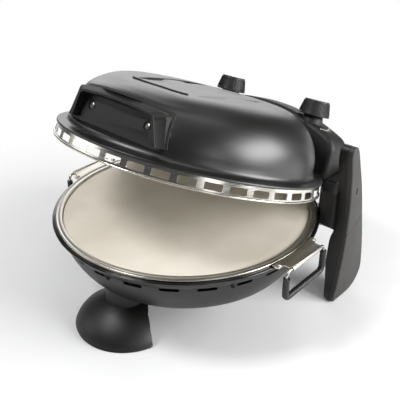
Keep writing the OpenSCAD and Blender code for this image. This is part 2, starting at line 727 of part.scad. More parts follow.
// Outline of the handle seen from the front, with rounded upper corners
// Outline of the hood's lip, drawn in by an inset and reaching down to a height
module lip_outline(inset, low) polygon(concat(
  [[-lip_half + inset - (low < leg_low ? 1.5 : 0), low], [lip_half - inset + (low < leg_low ? 1.5 : 0), low]],
  arc(lip_half - 18.5, lip_top - 11.5, 9 - inset, 14, 78, 6), [[0, lip_top - inset]],
  arc(18.5 - lip_half, lip_top - 11.5, 9 - inset, 102, 166, 6)));

// Room between the hood's walls, in front of its back panel
module recess_room() hull() {
  front_plate(lip_y - 5, lip_y - 0.02) lip_outline(2.4, 12);
  intersection() {
    front_plate(-150, -100) polygon(concat([[-recess_half, 12], [recess_half, 12]],
      arc(recess_half - 9, recess_top - 9, 9, 0, 90, 6), arc(9 - recess_half, recess_top - 9, 9, 90, 180, 6)));
    side_plate(-recess_half - 1, recess_half + 1) polygon([[pocket_y(12) - panel_t, 12],
      [pocket_y(recess_top) - panel_t, recess_top], [pocket_y(recess_top) - panel_t - 0.2, recess_top],
      [pocket_y(12) - panel_t - 0.2, 12]]);
  }
}

module front_handle() color("#3c3b38") at_lid() difference() {
  union() {
    // Back panel
    intersection() {
      dome_solid(0.3);
      front_plate(-150, -100) handle_outline(0);
      side_plate(-handle_half - 1, handle_half + 1) polygon([[pocket_y(20) - panel_t, 20],
        [pocket_y(80) - panel_t, 80], [-100, 80], [-100, 20]]);
    }
    // Rim round the hood, 1 mm proud of the dome
    intersection() {
      dome_solid(1);
      difference() {
        front_plate(-150, -100) handle_outline(0);
        front_plate(-160, -90) handle_outline(-2.4);
      }
    }
    hull() {
      front_plate(-130.5, -121) handle_outline(-2.2);
      front_plate(lip_y, lip_y + 0.3) lip_outline(0, leg_low);
    }
  }
  difference() {
    dome_solid(handle_gap);
    handle_pocket(-handle_gap);
  }
  recess_room();
  side_plate(-handle_half - 5, handle_half + 5) polygon([[-160, 12], [-160, leg_low],
    [pocket_y(leg_low) - panel_t, leg_low], [pocket_y(12) - panel_t, 12]]);
  handle_screw_axes() {
    translate([0, 0, -10]) cylinder(r = 2.1, h = 30);
    translate([0, 0, panel_t - 1.2]) cylinder(r = 5.2, h = 12);
  }
}

// Axes square to the sloping panel, starting at the pocket's back and running out of the front
module handle_screw_axes() for (s = [-1, 1])
  translate([s * handle_screw_x, pocket_y(handle_screw_z), handle_screw_z])
    rotate([90 - atan(handle_slope), 0, 0]) children();

module handle_screws() color("#c4c2bc") at_lid() handle_screw_axes() {
  translate([0, 0, -6.5]) cylinder(r = 2.05, h = 6.5 + panel_t - 1.2);
  difference() {
    translate([0, 0, panel_t - 1.2]) cylinder(r = 3.8, h = 2);
    translate([0, 0, panel_t - 0.2]) cylinder(r = 1.6, h = 4, $fn = 6);
  }
}

module handle_nuts() color("#8f8d88") at_lid() handle_screw_axes() translate([0, 0, -dome_wall - 3.4])
  difference() {
    cylinder(r = 4, h = 3, $fn = 6);
    translate([0, 0, -1]) cylinder(r = 2.1, h = 6);
  }

// ---------- rear housing ----------
module housing_form(inset) intersection() {
  front_plate(housing_front + inset, housing_back - inset) intersection() {
    polygon(concat([[housing_half + 5, 0]],
      arc(0, housing_high - housing_arch_r, housing_arch_r - inset, 62, 118, 24), [[-housing_half - 5, 0]]));
    translate([-housing_half + inset, housing_low - (inset > 0 ? 5 : 0)])
      square([2 * (housing_half - inset), housing_high]);
  }
  side_plate(-housing_half, housing_half) polygon(concat(
    [[housing_front + inset, 0], [housing_back - inset, 0]],
    arc(housing_back - back_round, housing_high - back_round - 2, back_round - inset, 0, 90, 8),
    arc(housing_front + 8, housing_high - 10, 8 - inset, 90, 180, 5)));
  linear_extrude(120) housing_plan(inset);
}

// The housing's outline seen from above, with rounded rear corners
module housing_plan(inset) polygon(concat(
  [[-housing_half + inset, housing_front + inset], [housing_half - inset, housing_front + inset]],
  arc(housing_half - 18, housing_back - 18, 18 - inset, 0, 90, 8),
  arc(18 - housing_half, housing_back - 18, 18 - inset, 90, 180, 8)));

module knob_places() for (s = [-1, 1]) translate([s * knob_x, knob_y, 0]) children();

// Bosses inside the housing for the screws of its bottom, each with a rib to the nearest wall
module screw_bosses() bottom_screw_places() translate([0, 0, housing_low]) cylinder(r = 4.5, h = 24);

module screw_ribs() both_sides() {
  translate([housing_half - 12, housing_front + 10.5, housing_low]) cube([10.5, 3, 24]);
  translate([46.5, housing_back - 10, housing_low]) cube([3, 8.5, 24]);
}

module rear_housing() color("#3c3b38") at_lid() difference() {
  union() {
    difference() {
      housing_form(0);
      difference() {
        housing_form(housing_wall);
        knob_places() translate([0, 0, control_high]) cylinder(r = boss_r, h = 40);
      }
    }
    knob_places() translate([0, 0, control_high])
      cylinder(r1 = boss_r + 2.4, r2 = boss_r, h = boss_top - control_high);
    screw_bosses();
    screw_ribs();
  }
  bottom_screw_places() translate([0, 0, housing_low - 1]) cylinder(r = 1.75, h = 14);
  dome_solid(0.25);
  cylinder(r = flange_r + 0.6, h = band_top + 4);
  knob_places() translate([0, 0, control_high - 5]) cylinder(r = 5.1, h = 40);
  both_sides() translate([0, hinge_y, hinge_up]) rod_x(lug_out, housing_half + 2, pin_r + 1.2);
}

module housing_bottom() color("#2c2b29") at_lid() difference() {
  translate([0, 0, housing_low - bottom_t - seat_gap]) linear_extrude(bottom_t) housing_plan(0);
  cylinder(r = band_foot_r + 1.6, h = 60);
  bottom_screw_places() cylinder(r = 1.8, h = 60, center = true);
}

module bottom_screw_places() both_sides() {
  translate([housing_half - 12, housing_front + 12, 0]) children();
  translate([48, housing_back - 10, 0]) children();
}

// Screws up through the bottom into the housing's bosses
module housing_screws() color("#8f8d88") at_lid() bottom_screw_places() {
  translate([0, 0, housing_low - bottom_t - seat_gap - 1.6]) cylinder(r = 3.2, h = 1.6);
  translate([0, 0, housing_low - bottom_t - seat_gap]) cylinder(r = 1.7, h = bottom_t + 9);
}

module hinge_lug(left) color("#9a9893") at_lid() on_side(left) difference() {
  union() {
    side_plate(lug_in, lug_out) union() {
      translate([hinge_y, hinge_up]) circle(r = hub_r);
      translate([148, hinge_up + 1]) square([hinge_y - 148, hub_r - 1]);
      translate([148, hinge_up + 1]) square([8, 24]);
    }
    translate([58, 150, 24]) cube([lug_out - 58, 5, 20]);
    translate([58, 128, 28]) cube([14, 24, 15]);
  }
  dome_solid(seat_gap);
  translate([0, hinge_y, hinge_up]) rod_x(lug_in - 5, lug_out + 5, pin_r + run_gap);
}

module hinge_lug_right() hinge_lug(false);
module hinge_lug_left() hinge_lug(true);

// ---------- controls ----------
module control_body(side, square_body) at_lid() translate([side * knob_x, knob_y, 0]) difference() {
  union() {
    if (square_body) translate([-15, -8.5, control_low]) cube([30, 25.5, control_high - control_low]);
    else translate([0, 3, control_low]) cylinder(r = control_r, h = control_high - control_low);
    translate([0, 0, control_high - 1]) cylinder(r = 5, h = boss_top + nut_h + 0.8 - control_high + 1);
  }
  translate([0, 0, control_low + 6]) cylinder(r = shaft_r + run_gap, h = 60);
}

module thermostat() color("#b58a4a") control_body(-1, false);
module timer() color("#d9d4c6") control_body(1, true);

module control_nuts() color("#c9c7c1") at_lid() knob_places() translate([0, 0, boss_top + seat_gap])
  difference() {
    cylinder(r = 7.6, h = nut_h, $fn = 6);
    translate([0, 0, -1]) cylinder(r = 5 + run_gap, h = 10);
  }

module lid_leads() color("#c8c2b2") at_lid() for (side = [-1, 1]) translate([0, 0, dome_lead_z]) {
  translate([side * lead_x, lead_start, 0]) rotate([-90, 0, 0])
    cylinder(r = 1.5, h = lead_turn_y - lead_start);
  translate([side * lead_x, lead_turn_y, 0]) sphere(r = 1.5);
  translate([side * lead_x, lead_turn_y, 0]) rotate([0, side * 90, 0])
    cylinder(r = 1.5, h = knob_x - lead_x - (side < 0 ? 14.6 : 15.15));
}

module knob(side) at_lid() translate([side * knob_x, knob_y, knob_foot]) difference() {
  union() {
    cylinder(r1 = knob_r, r2 = knob_r - 0.4, h = 2);
    translate([0, 0, 2]) cylinder(r1 = knob_r - 0.6, r2 = knob_top_r + 0.4, h = knob_h - 3);
    translate([0, 0, knob_h - 1]) cylinder(r1 = knob_top_r + 0.4, r2 = knob_top_r - 0.5, h = 1);
  }
  translate([0, 0, -1]) cylinder(r = knob_dish_r, h = knob_dish_h + 1);
  translate([0, 0, knob_dish_h - 1]) cylinder(r = shaft_r + run_gap, h = knob_h - knob_dish_h - 2);
  translate([0, 0, knob_h - cap_t]) cylinder(r = cap_r + run_gap, h = 5);
}

module knob_cap(side) at_lid() translate([side * knob_x, knob_y, knob_foot + knob_h - cap_t]) difference() {
  cylinder(r = cap_r, h = cap_t + 0.2);
  translate([-0.7, -cap_r + 1, cap_t - 0.2]) cube([1.4, 7, 2]);
}

module knob_shaft(side) at_lid() translate([side * knob_x, knob_y, control_low + 7])
  cylinder(r = shaft_r, h = knob_foot + knob_h - 4.4 - control_low - 7);

module thermostat_knob() color("#1c1b1a") knob(-1);
module timer_knob() color("#1c1b1a") knob(1);
module thermostat_cap() color("#c9c8c2") knob_cap(-1);
module timer_cap() color("#c9c8c2") knob_cap(1);
module thermostat_shaft() color("#b5b3ad") knob_shaft(-1);
module timer_shaft() color("#b5b3ad") knob_shaft(1);

base_shell();
base_rim();
base_reflector();
reflector_posts();
reflector_screws();
lower_element();
lower_element_saddles();
skirt_screws();
front_foot();
foot_pad();
foot_screws();
hinge_bracket_right();
hinge_bracket_left();
bracket_screws();
arm_core_right();
arm_core_left();
arm_upper_cover_right();
arm_upper_cover_left();
arm_lower_cover_right();
arm_lower_cover_left();
arm_pads();
arm_screws();
hinge_pins();
hinge_washers();
cord_gland();
terminal_block();
base_leads();
stone_tray();
tray_tab_right();
tray_tab_left();
tab_rivets();
bail_wire_right();
bail_sleeve_right();
bail_wire_left();
bail_sleeve_left();
baking_stone();
lid_dome();
lid_band();
lid_reflector();
upper_element();
upper_element_hangers();
front_handle();
handle_screws();
handle_nuts();
plain_name_strip();
rear_housing();
housing_bottom();
housing_screws();
hinge_lug_right();
hinge_lug_left();
thermostat();
timer();
control_nuts();
lid_leads();
thermostat_knob();
thermostat_cap();
thermostat_shaft();
timer_knob();
timer_cap();
timer_shaft();
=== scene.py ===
"""Electric pizza maker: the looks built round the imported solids."""
import json
import math

import bmesh
import bpy
from mathutils import Matrix, Vector


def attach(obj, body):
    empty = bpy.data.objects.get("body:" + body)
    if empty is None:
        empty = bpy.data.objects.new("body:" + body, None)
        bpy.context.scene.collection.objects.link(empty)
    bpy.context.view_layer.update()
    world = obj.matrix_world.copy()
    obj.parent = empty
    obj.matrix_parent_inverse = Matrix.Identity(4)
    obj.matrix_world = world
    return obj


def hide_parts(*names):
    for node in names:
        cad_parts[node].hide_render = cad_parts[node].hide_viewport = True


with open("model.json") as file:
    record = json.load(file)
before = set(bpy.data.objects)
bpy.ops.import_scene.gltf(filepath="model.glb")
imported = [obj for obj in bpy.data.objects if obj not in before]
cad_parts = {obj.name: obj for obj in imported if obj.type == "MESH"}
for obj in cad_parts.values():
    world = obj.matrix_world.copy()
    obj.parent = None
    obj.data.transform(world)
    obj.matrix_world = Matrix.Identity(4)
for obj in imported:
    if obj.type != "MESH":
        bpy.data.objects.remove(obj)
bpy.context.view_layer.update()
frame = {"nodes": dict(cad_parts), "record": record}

# ---------------------------------------------------------------- places and sizes, in mm and degrees
SHIFT_X, SHIFT_Y, RIM_H = 0.7206, -12.1963, 120.0
HINGE_Y, HINGE_Z = 168.0, 20.0
# these three are in radians
LID_OPEN, RIGHT_TURN, LEFT_TURN = math.radians(20.5), math.radians(1.5), math.radians(184.5)
FLOOR_Z = -118.5
RIM_SEGMENTS = 288
VENTS, VENT_PHASE, VENT_HALF_ANGLE, VENT_Z = 24, 7.1, 4.0, -17.9
SKIRT_SCREWS, SKIRT_SCREW_PHASE, SKIRT_R = 7, 11.0, 158.5
BRACKET_TURN, BRACKET_ROOM = 133.0, 14.0
NEAR_SCREW, SCREW_ROOM = 6.0, 1.8
BAND_SLOTS, BAND_PHASE, BAND_R = 38, 3.2, 162.6
HANDLE_LOW, LIP_Y, PANEL_T = 30.5, -138.3, 3.8
HANDLE_SCREW_X, HANDLE_SCREW_Z = 44.5, 46
ROLL_X, ROLL_Z, BAIL_Y, BAIL_Z = 180, -2, 37, -37
SINK, SCOOP_DEPTH = 6.2, 3.2
SHOULDER_X, SHOULDER_Z, SHOULDER_R = 87.815, 27.1, 61.5
DOME_H, CROWN = 88.6, 1.2
KNOB_X, KNOB_Y, KNOB_FOOT = 70.8, 141.0, 86.2
HOUSING_R, HOUSING_TOP = 271.0, 89.0


def on_base(p):
    """A point of the base, measured from the bowl's axis and the tray's rim, to the frame in metres."""
    return Vector(((p[0] + SHIFT_X) / 1000, (p[1] + SHIFT_Y) / 1000, (p[2] + RIM_H) / 1000))


def on_lid(p):
    """A point of the lid, measured with the lid shut, to where the raised lid has it."""
    dy, dz = p[1] - HINGE_Y, p[2] - HINGE_Z
    c, s = math.cos(LID_OPEN), math.sin(LID_OPEN)
    return on_base((p[0], HINGE_Y + dy * c + dz * s, HINGE_Z - dy * s + dz * c))


def on_tab(turn):
    """The place of a tab of the tray that is drawn along +x and then turned round the bowl's axis."""
    c, s = math.cos(turn), math.sin(turn)
    return lambda p: on_base((p[0] * c - p[1] * s, p[0] * s + p[1] * c, p[2]))


on_right_tab, on_left_tab = on_tab(RIGHT_TURN), on_tab(LEFT_TURN)


def mirrored(place):
    """The same place on the other side."""
    return lambda p: place((-p[0], p[1], p[2]))


def at_knob(side, lift=0.0):
    """The axis of a knob in the lid's own millimetres; side is -1 or 1."""
    return lambda p: Vector((p[0] + side * KNOB_X, p[1] + KNOB_Y, p[2] + lift))


# ---------------------------------------------------------------- materials
def linear(code):
    """An sRGB hex colour as linear RGBA."""
    parts = [int(code[i:i + 2], 16) / 255 for i in (1, 3, 5)]
    return tuple(v / 12.92 if v <= 0.04045 else ((v + 0.055) / 1.055) ** 2.4 for v in parts) + (1.0,)


def add(tree, kind, links=None, **settings):
    """Adds a node. links maps an input's name or number to a value or to another node's output."""
    made = tree.nodes.new(kind)
    for key, value in settings.items():
        setattr(made, key, value)
    for key, value in (links or {}).items():
        socket = made.inputs[key]
        if isinstance(value, bpy.types.NodeSocket):
            tree.links.new(value, socket)
        else:
            socket.default_value = value
    return made


def finish_of(name, color, roughness, metallic=0.0, **sockets):
    """A new material with its surface shader and Object coordinates."""
    made = bpy.data.materials.new(name)
    made.use_nodes = True
    tree = made.node_tree
    shader = tree.nodes["Principled BSDF"]
    shader.inputs["Base Color"].default_value = linear(color)
    shader.inputs["Roughness"].default_value = roughness
    shader.inputs["Metallic"].default_value = metallic
    for key, value in sockets.items():
        shader.inputs[key.replace("_", " ")].default_value = value
    where = add(tree, "ShaderNodeTexCoord").outputs["Object"]
    return made, tree, shader, where


def uneven_tone(tree, shader, source, low, high, start=0.0, end=1.0):
    """Lets the base colour wander between two near shades with a pattern."""
    ramp = add(tree, "ShaderNodeValToRGB", {"Fac": source})
    for stop, position, shade in zip(ramp.color_ramp.elements, (start, end), (low, high)):
        stop.position, stop.color = position, linear(shade)
    tree.links.new(ramp.outputs["Color"], shader.inputs["Base Color"])


def mottle(tree, shader, where, low, high, scale):
    """Clouds the base colour; scale is clouds per metre."""
    noise = add(tree, "ShaderNodeTexNoise", {"Vector": where, "Scale": scale, "Detail": 3.0})
    uneven_tone(tree, shader, noise.outputs["Fac"], low, high, 0.3, 0.7)


def uneven_gloss(tree, shader, source, low, high):
    """Lets the roughness wander a little with a pattern."""
    spread = add(tree, "ShaderNodeMapRange", {"Value": source, "To Min": low, "To Max": high})
    tree.links.new(spread.outputs["Result"], shader.inputs["Roughness"])


def relief(tree, shader, height, strength, depth_mm):
    """Bumps the surface by a pattern, to a depth in millimetres."""
    bump = add(tree, "ShaderNodeBump", {"Height": height, "Strength": strength, "Distance": depth_mm / 1000})
    tree.links.new(bump.outputs["Normal"], shader.inputs["Normal"])


def moulded_plastic(name, low, high, roughness, grain_mm, strength):
    """Injection-moulded plastic: spark-eroded grain, drawn coarser than the real 0.3 mm so that it shows."""
    made, tree, shader, where = finish_of(name, low, roughness, IOR=1.5)
    mottle(tree, shader, where, low, high, 40.0)
    grain = add(tree, "ShaderNodeTexVoronoi", {"Vector": where, "Scale": 1000 / grain_mm, "Randomness": 1.0},
                feature="SMOOTH_F1")
    uneven_gloss(tree, shader, grain.outputs["Distance"], roughness - 0.05, roughness + 0.1)
    relief(tree, shader, grain.outputs["Distance"], strength, 0.12)
    return made


def baked_paint(name, low, high, roughness, peel_mm, strength, **sockets):
    """Stove-baked paint on pressed steel: a slight orange peel about 4 mm across and faint uneven sheen."""
    made, tree, shader, where = finish_of(name, low, roughness, **{"IOR": 1.52, **sockets})
    mottle(tree, shader, where, low, high, 9.0)
    peel = add(tree, "ShaderNodeTexNoise", {"Vector": where, "Scale": 1000 / peel_mm, "Detail": 2.0})
    haze = add(tree, "ShaderNodeTexNoise", {"Vector": where, "Scale": 22.0, "Detail": 4.0})
    uneven_gloss(tree, shader, haze.outputs["Fac"], roughness - 0.04, roughness + 0.05)
    relief(tree, shader, peel.outputs["Fac"], strength, 0.08)
    return made


def grained_metal(name, low, high, roughness, stretch, turn=(0, 0, 0), strength=0.15):
    """Sheet metal with a fine grain drawn along one way; stretch is lines per metre along each axis."""
    made, tree, shader, where = finish_of(name, low, roughness, 1.0)
    turned = add(tree, "ShaderNodeMapping", {"Vector": where, "Rotation": turn, "Scale": stretch})
    noise = add(tree, "ShaderNodeTexNoise", {"Vector": turned.outputs["Vector"], "Scale": 1.0, "Detail": 5.0})
    uneven_tone(tree, shader, noise.outputs["Fac"], low, high, 0.35, 0.65)
    uneven_gloss(tree, shader, noise.outputs["Fac"], roughness - 0.06, roughness + 0.1)
    relief(tree, shader, noise.outputs["Fac"], strength, 0.05)
    return made


def spun_metal(name, low, high, roughness, centre, turn, lines_mm, strength=0.2):
    """Metal turned or pressed on a lathe: fine rings round an axis, with the grain following them."""
    made, tree, shader, where = finish_of(name, low, roughness, 1.0)
    moved = add(tree, "ShaderNodeMapping", {"Vector": where, "Location": centre, "Rotation": turn},
                vector_type="TEXTURE")
    rings = add(tree, "ShaderNodeTexWave", {"Vector": moved.outputs["Vector"], "Scale": 1000 / lines_mm / 20,
                                           "Distortion": 1.2, "Detail": 3.0, "Detail Scale": 1.5},
                wave_type="RINGS", rings_direction="Z")
    uneven_tone(tree, shader, rings.outputs["Fac"], low, high)
    uneven_gloss(tree, shader, rings.outputs["Fac"], roughness - 0.04, roughness + 0.08)
    relief(tree, shader, rings.outputs["Fac"], strength, 0.05)
    return made


def cordierite():
    """Fired baking stone: chalky cream body with fine darker grit and a slightly pitted face."""
    made, tree, shader, where = finish_of("fired_cordierite_stone", "#e7dfd1", 0.88, IOR=1.5)
    cloud = add(tree, "ShaderNodeTexNoise", {"Vector": where, "Scale": 18.0, "Detail": 6.0})
    grit = add(tree, "ShaderNodeTexVoronoi", {"Vector": where, "Scale": 420.0}, feature="F1")
    tone = add(tree, "ShaderNodeValToRGB", {"Fac": cloud.outputs["Fac"]})
    for stop, position, shade in zip(tone.color_ramp.elements, (0.3, 0.75), ("#e0d7c7", "#eee8dc")):
        stop.position, stop.color = position, linear(shade)
    fleck = add(tree, "ShaderNodeMapRange", {"Value": grit.outputs["Distance"], "From Min": 0.05,
                                            "From Max": 0.22, "To Min": 0.16, "To Max": 0.0})
    both = add(tree, "ShaderNodeMix", {"Factor": fleck.outputs["Result"], 6: tone.outputs["Color"],
                                      7: linear("#a99a84")}, data_type="RGBA")
    tree.links.new(both.outputs[2], shader.inputs["Base Color"])
    relief(tree, shader, grit.outputs["Distance"], 0.25, 0.2)
    return made


def heated_sheet():
    """Bright sheet near a heater: a straw tint wanders over the aluminised face."""
    made, tree, shader, where = finish_of("aluminised_heat_tinted_sheet", "#b9b6ae", 0.34, 1.0)
    cloud = add(tree, "ShaderNodeTexNoise", {"Vector": where, "Scale": 7.0, "Detail": 4.0})
    uneven_tone(tree, shader, cloud.outputs["Fac"], "#c2beb6", "#ada388", 0.35, 0.7)
    fine = add(tree, "ShaderNodeTexNoise", {"Vector": where, "Scale": 380.0, "Detail": 3.0})
    uneven_gloss(tree, shader, fine.outputs["Fac"], 0.28, 0.46)
    relief(tree, shader, fine.outputs["Fac"], 0.15, 0.06)
    return made


def oxidised_sheath():
    """Heater tube: nickel alloy gone dull brown-grey, mottled along its length."""
    made, tree, shader, where = finish_of("oxidised_heater_sheath", "#4a423b", 0.55, 0.75)
    mottle(tree, shader, where, "#3b3530", "#655a4e", 60.0)
    return made


LID_TURN = (LID_OPEN, 0.0, 0.0)
KNOB_AXIS = tuple(on_lid((KNOB_X, KNOB_Y, KNOB_FOOT)))
BASE_AXIS = tuple(on_base((0, 0, 0)))

finishes = {
    # satin black: broad soft highlights, nearly black in the shade
    "dome_paint": baked_paint("satin_black_baked_paint", "#0a0908", "#0f0e0c", 0.38, 4.0, 0.10, IOR=1.7),
    # the same paint a little flatter, so that the bowl stays dark under the rim
    "base_paint": baked_paint("satin_black_bowl_paint", "#0a0a09", "#0f0e0d", 0.44, 4.0, 0.12),
    # glossy enamel: a thin sharp highlight line along the rim
    "rim_enamel": baked_paint("gloss_black_enamel", "#0c0c0b", "#100f0e", 0.14, 7.0, 0.05, Coat_Weight=0.4),
    # stainless strip: bright, with drawing lines along its length
    "band_steel": grained_metal("bright_stainless_strip", "#c4c0b8", "#d6d3cc", 0.2, (14, 14, 900),
                                (-LID_OPEN, 0, 0), 0.12),
    # spun sheet: pale, with fine rings that the light runs round
    "tray_metal": spun_metal("spun_aluminised_tray", "#c4c0b8", "#e0ddd7", 0.3, BASE_AXIS, (0, 0, 0), 2.6),
    # brushed plate: a straight grain and a soft, even shine
    "tab_steel": grained_metal("brushed_steel_plate", "#bdb7ac", "#d6d1c8", 0.32, (700, 30, 30)),
    # aluminised sheet: bright, with straw tints where it has been hot
    "reflector_steel": heated_sheet(),
    # zinc plate: cool grey, slightly clouded
    "plain_steel": grained_metal("zinc_plated_steel", "#8f8d88", "#a9a7a1", 0.34, (220, 220, 220)),
    # black zinc: dark grey with a dull shine
    "dark_screw": grained_metal("black_zinc_screw", "#2b2a29", "#3c3a38", 0.4, (300, 300, 300)),
    # heater tube: brown-grey and dull
    "element_sheath": oxidised_sheath(),
    # fired stone: chalky cream with darker grit
    "baking_stone": cordierite(),
    # filled nylon: near black, with a fine moulded grain and a soft shine
    "black_plastic": moulded_plastic("black_glass_filled_nylon", "#100f0e", "#161514", 0.45, 1.6, 0.35),
    # deeper spark grain: its highlights spread out and fade
    "grained_plastic": moulded_plastic("grained_charcoal_plastic", "#11100f", "#171614", 0.55, 1.9, 0.5),
    # dyed charcoal: a step lighter than the paint beside it
    "grey_plastic": moulded_plastic("charcoal_arm_plastic", "#2c2a28", "#363431", 0.48, 1.7, 0.35),
    # finer grain: the knobs shine a little more than the housing
    "knob_plastic": moulded_plastic("black_knob_plastic", "#181716", "#1f1e1c", 0.42, 1.4, 0.25),
    # turned aluminium: pale discs with fine rings
    "cap_silver": spun_metal("spun_aluminium_cap", "#a9a8a3", "#c2c1bd", 0.3, KNOB_AXIS, LID_TURN, 1.2),
    # almost no grain: one plain dark bar
    "strip_plastic": moulded_plastic("dark_satin_strip", "#080807", "#0b0b0a", 0.4, 3.0, 0.05),
    # soft grip: black, with a dull light along each rib
    "sleeve_plastic": moulded_plastic("black_grip_sleeve", "#131211", "#1a1917", 0.4, 1.5, 0.3),
    # nickel plate: bright warm grey with clear reflections
    "wire_chrome": grained_metal("nickel_plated_wire", "#b9b6b0", "#d0cdc7", 0.2, (260, 260, 260)),
    # rubber: matt black with no sharp light
    "pad_rubber": moulded_plastic("black_rubber", "#0f0f0e", "#151413", 0.72, 1.5, 0.4),
    # steatite: pale cream and chalky
    "insulator": moulded_plastic("pale_steatite", "#cdc4b2", "#d8d0c0", 0.6, 2.0, 0.2),
    # woven glass: off-white and matt, with a rough face
    "lead_sleeve": moulded_plastic("woven_glass_sleeve", "#c3bba8", "#d1cab9", 0.8, 1.0, 0.6),
    # brass: dull yellow
    "brass_body": grained_metal("plain_brass", "#a5803f", "#b89350", 0.35, (180, 180, 180)),
}
# matte ink, as on a printed scale
ink, ink_tree, ink_shader, ink_where = finish_of("pale_grey_ink", "#bdbbb5", 0.6)
mottle(ink_tree, ink_shader, ink_where, "#a9a7a1", "#c9c7c1", 300.0)

slots = {entry["node"]: entry["material_slot"] for entry in frame["record"]["subparts"]}
home = {node: body for body, nodes in frame["record"]["behaviour"]["bodies"].items() for node in nodes}
for name, solid in frame["nodes"].items():
    solid.data.materials.clear()
    solid.data.materials.append(finishes[slots[name]])


# ---------------------------------------------------------------- making meshes
def smoothed(mesh, angle=32):
    """Shades a mesh smooth, but for edges sharper than an angle in degrees."""
    mesh.shade_smooth()
    mesh.set_sharp_from_angle(angle=math.radians(angle))


def object_from(name, mesh):
    """A new object of the scene with a mesh."""
    made = bpy.data.objects.new(name, mesh)
    bpy.context.scene.collection.objects.link(made)
    return made


def solid_from(name, verts, faces, place=None):
    """A closed mesh with its faces turned outwards, placed in the frame."""
    mesh = bpy.data.meshes.new(name)
    mesh.from_pydata([tuple(place(v)) if place else tuple(v) for v in verts], [], faces)
    work = bmesh.new()
    work.from_mesh(mesh)
    bmesh.ops.remove_doubles(work, verts=work.verts, dist=1e-6 if place else 1e-3)
    bmesh.ops.recalc_face_normals(work, faces=work.faces)
    work.to_mesh(mesh)
    work.free()
    return object_from(name, mesh)


def arc(cx, cy, r, a, b, n):
    """Points of an arc from angle a to angle b, in n steps."""
    return [(cx + r * math.cos(math.radians(a + (b - a) * i / n)),
             cy + r * math.sin(math.radians(a + (b - a) * i / n))) for i in range(n + 1)]


def eased(points, radius, steps=4, closed=True):
    """Rounds the corners of an outline."""
    out, count = [], len(points)
    for i, p in enumerate(points):
        if not closed and i in (0, count - 1):
            out.append(tuple(p))
            continue
        a, b = Vector(points[i - 1]), Vector(points[(i + 1) % count])
        here = Vector(p)
        u, v = a - here, b - here
        if u.length < 1e-9 or v.length < 1e-9:
            continue
        if math.degrees(u.angle(-v)) < 9:
            out.append(tuple(here))
            continue
        reach = min(radius, u.length * 0.45, v.length * 0.45)
        s, e = here + u.normalized() * reach, here + v.normalized() * reach
        for k in range(steps + 1):
            t = k / steps
            out.append(tuple(s * (1 - t) ** 2 + here * 2 * t * (1 - t) + e * t * t))
    return out


def turned(profile, count):
    """A closed outline of (radius, height) spun round the axis: vertices and faces."""
    verts, rings, faces = [], [], []
    for r, z in profile:
        if r < 1e-6:
            rings.append([len(verts)] * count)
            verts.append((0.0, 0.0, z))
        else:
            rings.append(list(range(len(verts), len(verts) + count)))
            for k in range(count):
                a = 2 * math.pi * k / count
                verts.append((r * math.cos(a), r * math.sin(a), z))
    for i in range(len(rings)):
        p, q = rings[i], rings[(i + 1) % len(rings)]
        if p[0] == p[1] and q[0] == q[1]:
            continue
        for k in range(count):
            m = (k + 1) % count
            face = [p[k], p[m], q[m], q[k]]
            face = [v for n, v in enumerate(face) if v != face[n - 1]]
            if len(face) > 2:
                faces.append(face)
    return verts, faces


def lathe(name, profile, place, count=192, angle=32):
    """A closed outline of (radius, height) turned round the z axis."""
    verts, faces = turned(profile, count)
    made = solid_from(name, verts, faces, place)
    smoothed(made.data, angle)
    return made


def lofted(name, loops, place=None, angle=32):
    """A closed piece through loops of as many points each, with a face over either end."""
    count = len(loops[0])
    faces = []
    for i in range(len(loops) - 1):
        low, high = i * count, (i + 1) * count
        for k in range(count):
            m = (k + 1) % count
            faces.append([low + k, low + m, high + m, high + k])
    faces += [list(range(count)), list(range((len(loops) - 1) * count, len(loops) * count))]
    made = solid_from(name, [p for loop in loops for p in loop], faces, place)
    smoothed(made.data, angle)
    return made


def slab(name, outline, levels, axes, place, angle=32):
    """An outline pushed along one axis. Each level is a depth and how far the outline draws in there.
    axes says which way the outline's two numbers and the depth go, such as "yzx"."""
    loops = []
    for depth, shrink in levels:
        spots = [{axes[0]: u, axes[1]: v, axes[2]: depth} for u, v in shrunk(outline, shrink)]
        loops.append([(spot["x"], spot["y"], spot["z"]) for spot in spots])
    return lofted(name, loops, place, angle)


def rounded(low, high, at_low=0.0, at_high=0.0, steps=4):
    """Levels for slab() with a quarter round at either end, or a square end where the radius is 0."""
    def quarter(end, radius, inward):
        turns = [math.pi / 2 * k / steps for k in range(steps + 1)]
        return [(end + inward * radius * (1 - math.sin(t)), radius * (1 - math.cos(t))) for t in turns]
    levels = quarter(low, at_low, 1)[::-1] if at_low else [(low, 0.0)]
    return levels + (quarter(high, at_high, -1) if at_high else [(high, 0.0)])


def shrunk(outline, amount):
    """An outline moved inwards by an amount along its own normals."""
    if not amount:
        return list(outline)
    count, area = len(outline), 0.0
    for i in range(count):
        a, b = outline[i], outline[(i + 1) % count]
        area += a[0] * b[1] - b[0] * a[1]
    sign = 1 if area > 0 else -1
    out = []
    for i in range(count):
        a, p, b = Vector(outline[i - 1]), Vector(outline[i]), Vector(outline[(i + 1) % count])
        d1, d2 = (p - a).normalized(), (b - p).normalized()
        n1, n2 = Vector((-d1.y, d1.x)) * sign, Vector((-d2.y, d2.x)) * sign
        n = n1 + n2
        n = n.normalized() if n.length > 1e-6 else n1
        out.append(tuple(p + n * amount / max(0.5, n.dot(n1))))
    return out


